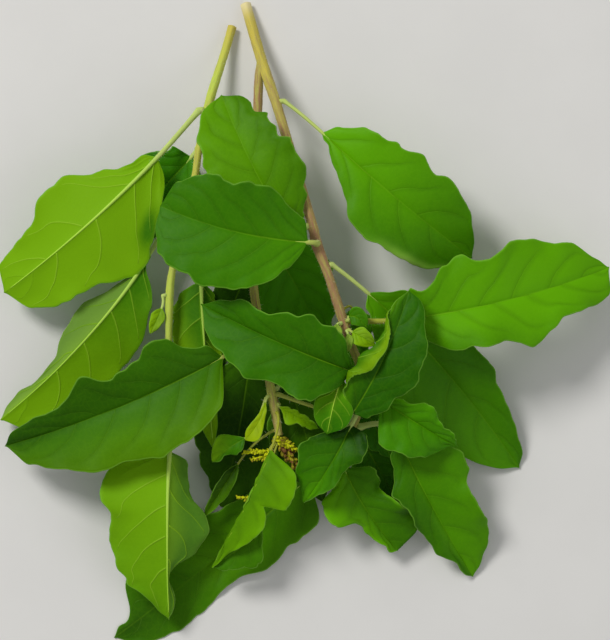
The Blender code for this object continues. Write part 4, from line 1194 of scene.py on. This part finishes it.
def make_bud_finish(green, brown):
    tree, shader = new_finish("bud_calyx", 0.65, 0.1)
    patches = maths(tree, "MULTIPLY", maths(tree, "SUBTRACT", noise(tree, 1400.0, 3.0, 0.6), 0.5), 2.0)
    browned = maths(tree, "ADD", read_value(tree, "ochre"), patches, clamp=True)
    grain = noise(tree, 4200.0, 2.0)
    tree.links.new(mix_colours(tree, browned, (*green, 1), (*brown, 1)), shader.inputs["Base Color"])
    give_bump(tree, shader, grain, 0.0001)


def make_hair_finish(colour):
    tree, shader = new_finish("stalk_hair", 0.55, 0.3)
    along = ramp_value(tree, noise(tree, 1800.0, 1.0), 0.3, 0.7)
    tree.links.new(mix_colours(tree, along, (*colour, 1), (*(0.8 * c for c in colour), 1)),
                   shader.inputs["Base Color"])


class LeafSettings(bpy.types.PropertyGroup):
    rows: bpy.props.IntProperty(
        name="Rows", description="Rows of faces along a large blade", default=110, min=20, max=400)
    half_columns: bpy.props.IntProperty(
        name="Half columns", description="Faces across half a large blade", default=24, min=6, max=80)
    blade_thickness: bpy.props.FloatProperty(
        name="Blade thickness", description="Thickness of a blade at its midrib",
        default=0.0004, unit="LENGTH", precision=5)
    quilting: bpy.props.FloatProperty(
        name="Quilting", description="How far the blade swells between its side veins",
        default=0.00018, unit="LENGTH", precision=5)
    deep_green: bpy.props.FloatVectorProperty(
        name="Deep green", description="The darkest leaf green",
        default=(0.009, 0.05, 0.0), subtype="COLOR")
    middle_green: bpy.props.FloatVectorProperty(
        name="Middle green", description="The usual leaf green",
        default=(0.045, 0.19, 0.0), subtype="COLOR")
    bright_green: bpy.props.FloatVectorProperty(
        name="Bright green", description="The lightest green on top of a leaf",
        default=(0.125, 0.43, 0.0), subtype="COLOR")
    bright_under: bpy.props.FloatVectorProperty(
        name="Bright underside", description="The lightest green under a leaf",
        default=(0.2, 0.44, 0.002), subtype="COLOR")
    vein_green: bpy.props.FloatVectorProperty(
        name="Vein green", description="Colour of the veins on top",
        default=(0.19, 0.42, 0.008), subtype="COLOR")
    side_vein: bpy.props.FloatVectorProperty(
        name="Side vein", description="Colour of the raised veins under a blade",
        default=(0.4, 0.68, 0.03), subtype="COLOR")
    petiole_pale: bpy.props.FloatVectorProperty(
        name="Petiole", description="Pale colour of petioles",
        default=(0.6, 0.75, 0.2), subtype="COLOR")
    midrib: bpy.props.FloatVectorProperty(
        name="Midrib", description="Colour of the midrib under a blade",
        default=(0.56, 0.95, 0.07), subtype="COLOR")
    petiole_ochre: bpy.props.FloatVectorProperty(
        name="Ochre petiole", description="Colour of the browner petioles",
        default=(0.38, 0.4, 0.02), subtype="COLOR")


class StemSettings(bpy.types.PropertyGroup):
    ring_sides: bpy.props.IntProperty(
        name="Ring sides", description="Faces round a stem", default=28, min=8, max=96)
    ridge_depth: bpy.props.FloatProperty(
        name="Ridge depth", description="How square a stem is, as a share of its radius",
        default=0.055)
    green: bpy.props.FloatVectorProperty(
        name="Green bark", description="Green parts of the bark",
        default=(0.52, 0.72, 0.1), subtype="COLOR")
    straw: bpy.props.FloatVectorProperty(
        name="Straw bark", description="Straw-coloured parts of the bark",
        default=(0.62, 0.5, 0.08), subtype="COLOR")
    woody: bpy.props.FloatVectorProperty(
        name="Woody bark", description="Mauve-brown parts of the bark",
        default=(0.38, 0.21, 0.11), subtype="COLOR")
    pith: bpy.props.FloatVectorProperty(
        name="Pith", description="The cut end", default=(0.85, 0.75, 0.4), subtype="COLOR")


class BudSettings(bpy.types.PropertyGroup):
    buds_in_whorl: bpy.props.IntProperty(
        name="Buds in a whorl", description="Buds round the spike at each step",
        default=5, min=3, max=12)
    bud_spacing: bpy.props.FloatProperty(
        name="Bud spacing", description="Distance between whorls",
        default=0.0008, unit="LENGTH", precision=5)
    bud_green: bpy.props.FloatVectorProperty(
        name="Bud green", description="Green of the buds",
        default=(0.68, 0.74, 0.01), subtype="COLOR")
    bud_brown: bpy.props.FloatVectorProperty(
        name="Bud brown", description="Red-brown of the buds",
        default=(0.2, 0.085, 0.03), subtype="COLOR")


class HairSettings(bpy.types.PropertyGroup):
    density: bpy.props.FloatProperty(
        name="Density", description="Hairs on a square metre of stalk", default=1.6e6)
    length: bpy.props.FloatProperty(
        name="Length", description="Length of the longest hair",
        default=0.0009, unit="LENGTH", precision=5)
    thickness: bpy.props.FloatProperty(
        name="Thickness", description="Radius of a hair at its foot",
        default=0.00003, unit="LENGTH", precision=6)
    colour: bpy.props.FloatVectorProperty(
        name="Hair colour", description="Colour of the hairs",
        default=(0.75, 0.78, 0.55), subtype="COLOR")


class StageSettings(bpy.types.PropertyGroup):
    camera_height: bpy.props.FloatProperty(
        name="Camera height", description="Height of the camera over the table",
        default=1.212, unit="LENGTH")
    lens: bpy.props.FloatProperty(
        name="Lens", description="Focal length in millimetres", default=300.0)
    key_power: bpy.props.FloatProperty(
        name="Key light", description="Power of the main light", default=14.0)
    fill_power: bpy.props.FloatProperty(
        name="Fill light", description="Power of the fill light", default=2.0)
    sky: bpy.props.FloatProperty(
        name="Sky", description="Strength of the light all round", default=0.35)
    floor: bpy.props.FloatVectorProperty(
        name="Floor", description="Colour of the table", default=(0.8, 0.79, 0.77), subtype="COLOR")


class BASIL_OT_finishes(bpy.types.Operator):
    """Makes the materials of the sprig"""

    bl_idname = "basil.finishes"
    bl_label = "Make the finishes"

    def execute(self, context):
        leaf, stem = context.scene.basil_leaf, context.scene.basil_stem
        bud, hair = context.scene.basil_bud, context.scene.basil_hair
        make_vein_lines_group()
        make_blade_green_group()
        make_streaks_group()
        greens = [tuple(leaf.deep_green), tuple(leaf.middle_green), tuple(leaf.bright_green)]
        under = greens[:2] + [tuple(leaf.bright_under)]
        vein = tuple(leaf.vein_green)
        make_blade_finish("leaf_upper", greens, 0.08, vein, 0.22, 0.18, (0.04, 0.06, 0.42), 0.48, False)
        make_blade_finish("leaf_under", under, 0.07, vein, 0.6, 0.35, (0.06, 0.2, 0.5), 0.6, True)
        young = [tuple(1.15 * c for c in colour) for colour in under]
        make_blade_finish("leaf_young_top", young, 0.12, vein, 0.2, 0.12, (0.04, 0.15, 0.4), 0.45, False)
        make_blade_finish("leaf_young_under", young, 0.1, vein, 0.3, 0.15, (0.05, 0.2, 0.5), 0.58, True)
        pale, ochre, rib = (
            tuple(colour) for colour in (leaf.petiole_pale, leaf.petiole_ochre, leaf.midrib))
        line = tuple(leaf.side_vein)
        make_stalk_finish("petiole", under, pale, ochre, rib, 0.3, 1.0, 0.00003)
        make_stalk_finish("side_vein", under, line, line, line, 1.0, 0.65, 0.00001)
        make_bark_finish([tuple(stem.green), tuple(stem.straw), tuple(stem.woody)], tuple(stem.pith))
        make_pith_finish(tuple(stem.pith))
        make_bud_finish(tuple(bud.bud_green), tuple(bud.bud_brown))
        make_hair_finish(tuple(hair.colour))
        return {"FINISHED"}


class BASIL_OT_stems(bpy.types.Operator):
    """Makes the main stem, its branch and the pale left stem"""

    bl_idname = "basil.stems"
    bl_label = "Make the stems"

    def execute(self, context):
        finishes = [bpy.data.materials[n] for n in ("stem_bark", "cut_pith")]
        for stem, node, slot in (("main", "stem_forked", "stem_tan"),
                                 ("branch", "stem_forked", "stem_tan"),
                                 ("left", "stem_left", "stem_pale")):
            obj = stem_body(stem, context.scene.basil_stem).make("stem_" + stem + "_bark", finishes)
            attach(obj, "root")
            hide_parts(node)
        return {"FINISHED"}


class BASIL_OT_leaves(bpy.types.Operator):
    """Makes the grown leaves, each with its petiole, midrib and side veins"""

    bl_idname = "basil.leaves"
    bl_label = "Make the leaves"

    def execute(self, context):
        make_leaves(False, context.scene.basil_leaf)
        return {"FINISHED"}


class BASIL_OT_young_leaves(bpy.types.Operator):
    """Makes the young leaves in the axils"""

    bl_idname = "basil.young_leaves"
    bl_label = "Make the young leaves"

    def execute(self, context):
        make_leaves(True, context.scene.basil_leaf)
        return {"FINISHED"}


def random_value(tree, low, high, seed, kind="FLOAT"):
    """A value between low and high that differs from point to point."""
    first, second, found = (2, 3, 1) if kind == "FLOAT" else (0, 1, 0)
    inputs = {first: low, second: high, "Seed": seed}
    return add_node(tree, "FunctionNodeRandomValue", inputs, data_type=kind).outputs[found]


def geometry_tree(name, inputs):
    """A geometry node tree with (name, kind, default) inputs besides its geometry."""
    tree = bpy.data.node_groups.new(name, "GeometryNodeTree")
    tree.interface.new_socket("Geometry", in_out="INPUT", socket_type="NodeSocketGeometry")
    for title, kind, default in inputs:
        socket = tree.interface.new_socket(title, in_out="INPUT", socket_type=kind)
        if default is not None:
            socket.default_value = default
    tree.interface.new_socket("Geometry", in_out="OUTPUT", socket_type="NodeSocketGeometry")
    return tree, tree.nodes.new("NodeGroupInput"), tree.nodes.new("NodeGroupOutput")


def grow(name, tree, guide_mesh, values):
    """Runs a tree on a guide mesh with its inputs set, and keeps what it makes as a plain mesh."""
    guide = bpy.data.objects.new(name + "_guide", guide_mesh)
    bpy.context.scene.collection.objects.link(guide)
    grown = guide.modifiers.new("grow", "NODES")
    grown.node_group = tree
    for item in tree.interface.items_tree:
        if item.item_type == "SOCKET" and item.in_out == "INPUT" and item.name in values:
            grown[item.identifier] = values[item.name]
    mesh = bpy.data.meshes.new_from_object(guide.evaluated_get(bpy.context.evaluated_depsgraph_get()))
    bpy.data.objects.remove(guide)
    mesh.name = name
    obj = bpy.data.objects.new(name, mesh)
    bpy.context.scene.collection.objects.link(obj)
    return obj


def make_hair_tree():
    """Hairs standing on a surface, leaning and shortened at random."""
    tree, given, result = geometry_tree("stalk hairs", [
        ("Density", "NodeSocketFloat", 1.0e6), ("Length", "NodeSocketFloat", 0.001),
        ("Thickness", "NodeSocketFloat", 0.00003), ("Lean", "NodeSocketFloat", 0.5),
        ("Seed", "NodeSocketInt", 3), ("Finish", "NodeSocketMaterial", None)])
    spots = add_node(tree, "GeometryNodeDistributePointsOnFaces", {
        "Mesh": given.outputs["Geometry"], "Density": given.outputs["Density"],
        "Seed": given.outputs["Seed"]}, distribute_method="RANDOM")
    cone = add_node(tree, "GeometryNodeMeshCone", {
        "Vertices": 3, "Radius Top": 0.0, "Radius Bottom": given.outputs["Thickness"],
        "Depth": given.outputs["Length"]})
    lean = given.outputs["Lean"]
    backward = maths(tree, "MULTIPLY", lean, -1.0)
    low, high = combine(tree, backward, backward, 0.0), combine(tree, lean, lean, 6.28)
    tilt = random_value(tree, low, high, 11, "FLOAT_VECTOR")
    turned = add_node(tree, "FunctionNodeRotateRotation", {
        "Rotation": spots.outputs["Rotation"], "Rotate By": tilt}, rotation_space="LOCAL")
    size = random_value(tree, 0.45, 1.0, 5)
    placed = add_node(tree, "GeometryNodeInstanceOnPoints", {
        "Points": spots.outputs["Points"], "Instance": cone.outputs["Mesh"],
        "Rotation": turned.outputs[0], "Scale": size})
    real = add_node(tree, "GeometryNodeRealizeInstances", {"Geometry": placed.outputs[0]})
    finished = add_node(tree, "GeometryNodeSetMaterial", {
        "Geometry": real.outputs[0], "Material": given.outputs["Finish"]})
    tree.links.new(finished.outputs[0], result.inputs["Geometry"])
    return tree


def make_spike_tree():
    """Whorls of buds round an axis between two points, each bud turned and moved a little."""
    tree, given, result = geometry_tree("flower spike", [
        ("Foot", "NodeSocketVector", (0, 0, 0)), ("Tip", "NodeSocketVector", (0, 0, 0.01)),
        ("Buds", "NodeSocketInt", 24), ("Per Whorl", "NodeSocketFloat", 6.0),
        ("Spread", "NodeSocketFloat", 0.0015), ("Bud Size", "NodeSocketFloat", 0.0006),
        ("Axis Radius", "NodeSocketFloat", 0.0005), ("Brown", "NodeSocketFloat", 0.5),
        ("Stray", "NodeSocketFloat", 0.0002), ("Seed", "NodeSocketInt", 4),
        ("Finish", "NodeSocketMaterial", None), ("Axis Finish", "NodeSocketMaterial", None)])
    line = add_node(tree, "GeometryNodeCurvePrimitiveLine", {
        "Start": given.outputs["Foot"], "End": given.outputs["Tip"]})
    ring = add_node(tree, "GeometryNodeCurvePrimitiveCircle", {
        "Resolution": 8, "Radius": given.outputs["Axis Radius"]})
    axis = add_node(tree, "GeometryNodeCurveToMesh", {
        "Curve": line.outputs[0], "Profile Curve": ring.outputs[0], "Fill Caps": True})
    axis = add_node(tree, "GeometryNodeSetMaterial", {
        "Geometry": axis.outputs[0], "Material": given.outputs["Axis Finish"]})
    spots = add_node(tree, "GeometryNodeCurveToPoints", {
        "Curve": line.outputs[0], "Count": given.outputs["Buds"]}, mode="COUNT")
    index = add_node(tree, "GeometryNodeInputIndex").outputs[0]
    whorls = maths(tree, "DIVIDE", index, given.outputs["Per Whorl"])
    turn = maths(tree, "MULTIPLY", whorls, 2 * math.pi)
    turn = maths(tree, "ADD", turn, maths(tree, "MULTIPLY", maths(tree, "FLOOR", whorls), 0.55))
    turn = maths(tree, "ADD", turn, random_value(tree, -0.4, 0.4, given.outputs["Seed"]))
    turned = add_node(tree, "FunctionNodeRotateRotation", {
        "Rotation": spots.outputs["Rotation"], "Rotate By": combine(tree, 0.0, 0.0, turn)},
        rotation_space="LOCAL")
    bud = add_node(tree, "GeometryNodeMeshUVSphere", {
        "Segments": 8, "Rings": 6, "Radius": given.outputs["Bud Size"]})
    out = combine(tree, given.outputs["Spread"], 0.0, 0.0)
    placed_bud = add_node(tree, "GeometryNodeTransform", {
        "Geometry": bud.outputs[0], "Translation": out, "Rotation": (0.0, -0.7, 0.0),
        "Scale": (1.75, 0.85, 0.85)})
    taper = add_node(tree, "ShaderNodeMapRange", {
        "Value": maths(tree, "DIVIDE", index, given.outputs["Buds"]), "To Min": 1.0, "To Max": 0.62})
    size = maths(tree, "MULTIPLY", random_value(tree, 0.55, 1.25, 9), taper.outputs[0])
    stray = given.outputs["Stray"]
    back = maths(tree, "MULTIPLY", stray, -1.0)
    offset = random_value(tree, combine(tree, back, back, back), combine(tree, stray, stray, stray), 13,
                          "FLOAT_VECTOR")
    loose = add_node(tree, "GeometryNodeSetPosition", {
        "Geometry": spots.outputs["Points"], "Offset": offset})
    placed = add_node(tree, "GeometryNodeInstanceOnPoints", {
        "Points": loose.outputs[0], "Instance": placed_bud.outputs[0],
        "Rotation": turned.outputs[0], "Scale": size})
    browned = maths(tree, "ADD", random_value(tree, -0.3, 0.3, 21), given.outputs["Brown"])
    marked = add_node(tree, "GeometryNodeStoreNamedAttribute", {
        "Geometry": placed.outputs[0], "Name": "ochre", "Value": browned},
        data_type="FLOAT", domain="INSTANCE")
    buds = add_node(tree, "GeometryNodeSetMaterial", {
        "Geometry": marked.outputs[0], "Material": given.outputs["Finish"]})
    both = tree.nodes.new("GeometryNodeJoinGeometry")
    tree.links.new(axis.outputs[0], both.inputs[0])
    tree.links.new(buds.outputs[0], both.inputs[0])
    real = add_node(tree, "GeometryNodeRealizeInstances", {"Geometry": both.outputs[0]})
    tree.links.new(real.outputs[0], result.inputs["Geometry"])
    return tree


class BASIL_OT_flower_spikes(bpy.types.Operator):
    """Makes the young flower spikes"""

    bl_idname = "basil.flower_spikes"
    bl_label = "Make the flower spikes"

    def execute(self, context):
        settings = context.scene.basil_bud
        tree = make_spike_tree()
        for name, (node, foot, tip, widest, brown) in SPIKES.items():
            length = math.dist(foot, tip) * MM
            buds = settings.buds_in_whorl * max(3, round(length / settings.bud_spacing))
            obj = grow(name + "_buds", tree, bpy.data.meshes.new(name), {
                "Foot": tuple(c * MM for c in foot), "Tip": tuple(c * MM for c in tip),
                "Buds": buds, "Per Whorl": float(settings.buds_in_whorl),
                "Spread": widest * 0.52 * MM, "Bud Size": widest * 0.36 * MM,
                "Axis Radius": widest * 0.3 * MM, "Brown": brown, "Stray": widest * 0.22 * MM,
                "Finish": bpy.data.materials["bud_calyx"],
                "Axis Finish": bpy.data.materials["bud_calyx"]})
            obj.data.shade_smooth()
            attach(obj, "root")
            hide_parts(node)
        body = Body()
        for start, bend, end in SPIKE_STALKS:
            u = np.linspace(0, 1, 16)[:, None]
            centres = bent_line(np.array(start), np.array(bend), np.array(end), u)
            points, faces, lie = tube(centres, np.full(16, 0.28), 8)
            body.add(points, faces, 0, lie, ochre=0.8)
        obj = body.make("flower_spike_stalks", [bpy.data.materials["petiole"]])
        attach(obj, "root")
        return {"FINISHED"}


class BASIL_OT_hairs(bpy.types.Operator):
    """Makes the fine hairs on the stems and petioles"""

    bl_idname = "basil.hairs"
    bl_label = "Make the hairs"

    def execute(self, context):
        settings = context.scene.basil_hair
        tree = make_hair_tree()
        body = Body()
        for stem in STEM_ROUTES:
            centres, radii = slim_stem(stem, 6)
            points, faces, _ = tube(centres[2:], radii[2:], 12)
            body.add(points, faces, 0)
        for index, leaf in enumerate(LEAVES):
            if not leaf.stem:
                continue
            centres, radii, _ = petiole_and_midrib(Blade(index, context.scene.basil_leaf))
            stalk = slice(2, STALK_STEPS + 4)
            points, faces, _ = tube(centres[stalk], radii[stalk], 8)
            body.add(points, faces, 0)
        guide = body.make("hair_guide", [])
        mesh = guide.data
        bpy.data.objects.remove(guide)
        obj = grow("stalk_hairs", tree, mesh, {
            "Density": settings.density, "Length": settings.length, "Thickness": settings.thickness,
            "Lean": 0.5, "Seed": HAIR_SEED, "Finish": bpy.data.materials["stalk_hair"]})
        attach(obj, "root")
        return {"FINISHED"}


def area_light(name, place, aim, size, power, colour):
    light = bpy.data.lights.new(name, "AREA")
    light.shape = "DISK"
    light.size = size
    light.energy = power
    light.color = colour
    obj = bpy.data.objects.new(name, light)
    obj.location = place
    obj.rotation_euler = (Vector(aim) - Vector(place)).to_track_quat("-Z", "Y").to_euler()
    bpy.context.scene.collection.objects.link(obj)


class BASIL_OT_stage(bpy.types.Operator):
    """Makes the pale table, the lights and the camera that looks straight down"""

    bl_idname = "basil.stage"
    bl_label = "Make the stage"

    def execute(self, context):
        settings = context.scene.basil_stage
        mesh = bpy.data.meshes.new("table_top")
        reach = 4.0
        corners = [(-reach, -reach, 0), (reach, -reach, 0), (reach, reach, 0), (-reach, reach, 0)]
        mesh.from_pydata(corners, [], [(0, 1, 2, 3)])
        tree, shader = new_finish("table_top", 0.85, 0.2)
        tone = ramp_value(tree, noise(tree, 60.0, 3.0), 0.3, 0.7)
        floor = tuple(settings.floor)
        tree.links.new(mix_colours(tree, tone, (*(0.98 * c for c in floor), 1), (*floor, 1)),
                       shader.inputs["Base Color"])
        mesh.materials.append(bpy.data.materials["table_top"])
        table = bpy.data.objects.new("table_top", mesh)
        context.scene.collection.objects.link(table)
        world = bpy.data.worlds.new("soft_room")
        world.use_nodes = True
        sky = world.node_tree.nodes["Background"]
        sky.inputs["Color"].default_value = (1.0, 1.0, 1.0, 1)
        sky.inputs["Strength"].default_value = settings.sky
        context.scene.world = world
        area_light("key", (-0.75, 0.75, 1.15), (0, 0, 0), 0.5, settings.key_power, (1.0, 0.99, 0.96))
        area_light("fill", (1.0, -0.5, 1.0), (0, 0, 0), 1.0, settings.fill_power, (0.95, 0.98, 1.0))
        camera = bpy.data.objects.new("camera", bpy.data.cameras.new("camera"))
        camera.data.lens = settings.lens
        camera.data.sensor_width = 36.0
        camera.data.clip_end = 20.0
        camera.location = (0, 0, settings.camera_height)
        context.scene.collection.objects.link(camera)
        context.scene.camera = camera
        context.scene.view_settings.view_transform = "Standard"
        return {"FINISHED"}


class BASIL_PT_panel(bpy.types.Panel):
    bl_label = "Basil Sprig"
    bl_idname = "BASIL_PT_panel"
    bl_space_type = "VIEW_3D"
    bl_region_type = "UI"
    bl_category = "Basil Sprig"

    def draw(self, context):
        for operator in OPERATORS:
            self.layout.operator(operator.bl_idname)
        for held, group in SETTINGS.items():
            box = self.layout.box()
            for name in group.__annotations__:
                box.prop(getattr(context.scene, held), name)


OPERATORS = [BASIL_OT_finishes, BASIL_OT_stems, BASIL_OT_leaves, BASIL_OT_young_leaves,
             BASIL_OT_flower_spikes, BASIL_OT_hairs, BASIL_OT_stage]
SETTINGS = {"basil_leaf": LeafSettings, "basil_stem": StemSettings, "basil_bud": BudSettings,
            "basil_hair": HairSettings, "basil_stage": StageSettings}


def register():
    for group in SETTINGS.values():
        bpy.utils.register_class(group)
    for held, group in SETTINGS.items():
        setattr(bpy.types.Scene, held, bpy.props.PointerProperty(type=group))
    for operator in OPERATORS:
        bpy.utils.register_class(operator)
    bpy.utils.register_class(BASIL_PT_panel)


def unregister():
    bpy.utils.unregister_class(BASIL_PT_panel)
    for operator in reversed(OPERATORS):
        bpy.utils.unregister_class(operator)
    for held, group in SETTINGS.items():
        delattr(bpy.types.Scene, held)
        bpy.utils.unregister_class(group)


def main():
    register()
    bpy.ops.basil.finishes()
    bpy.ops.basil.stems()
    bpy.ops.basil.leaves()
    bpy.ops.basil.young_leaves()
    bpy.ops.basil.flower_spikes()
    bpy.ops.basil.hairs()
    bpy.ops.basil.stage()


if __name__ == "__main__":
    main()
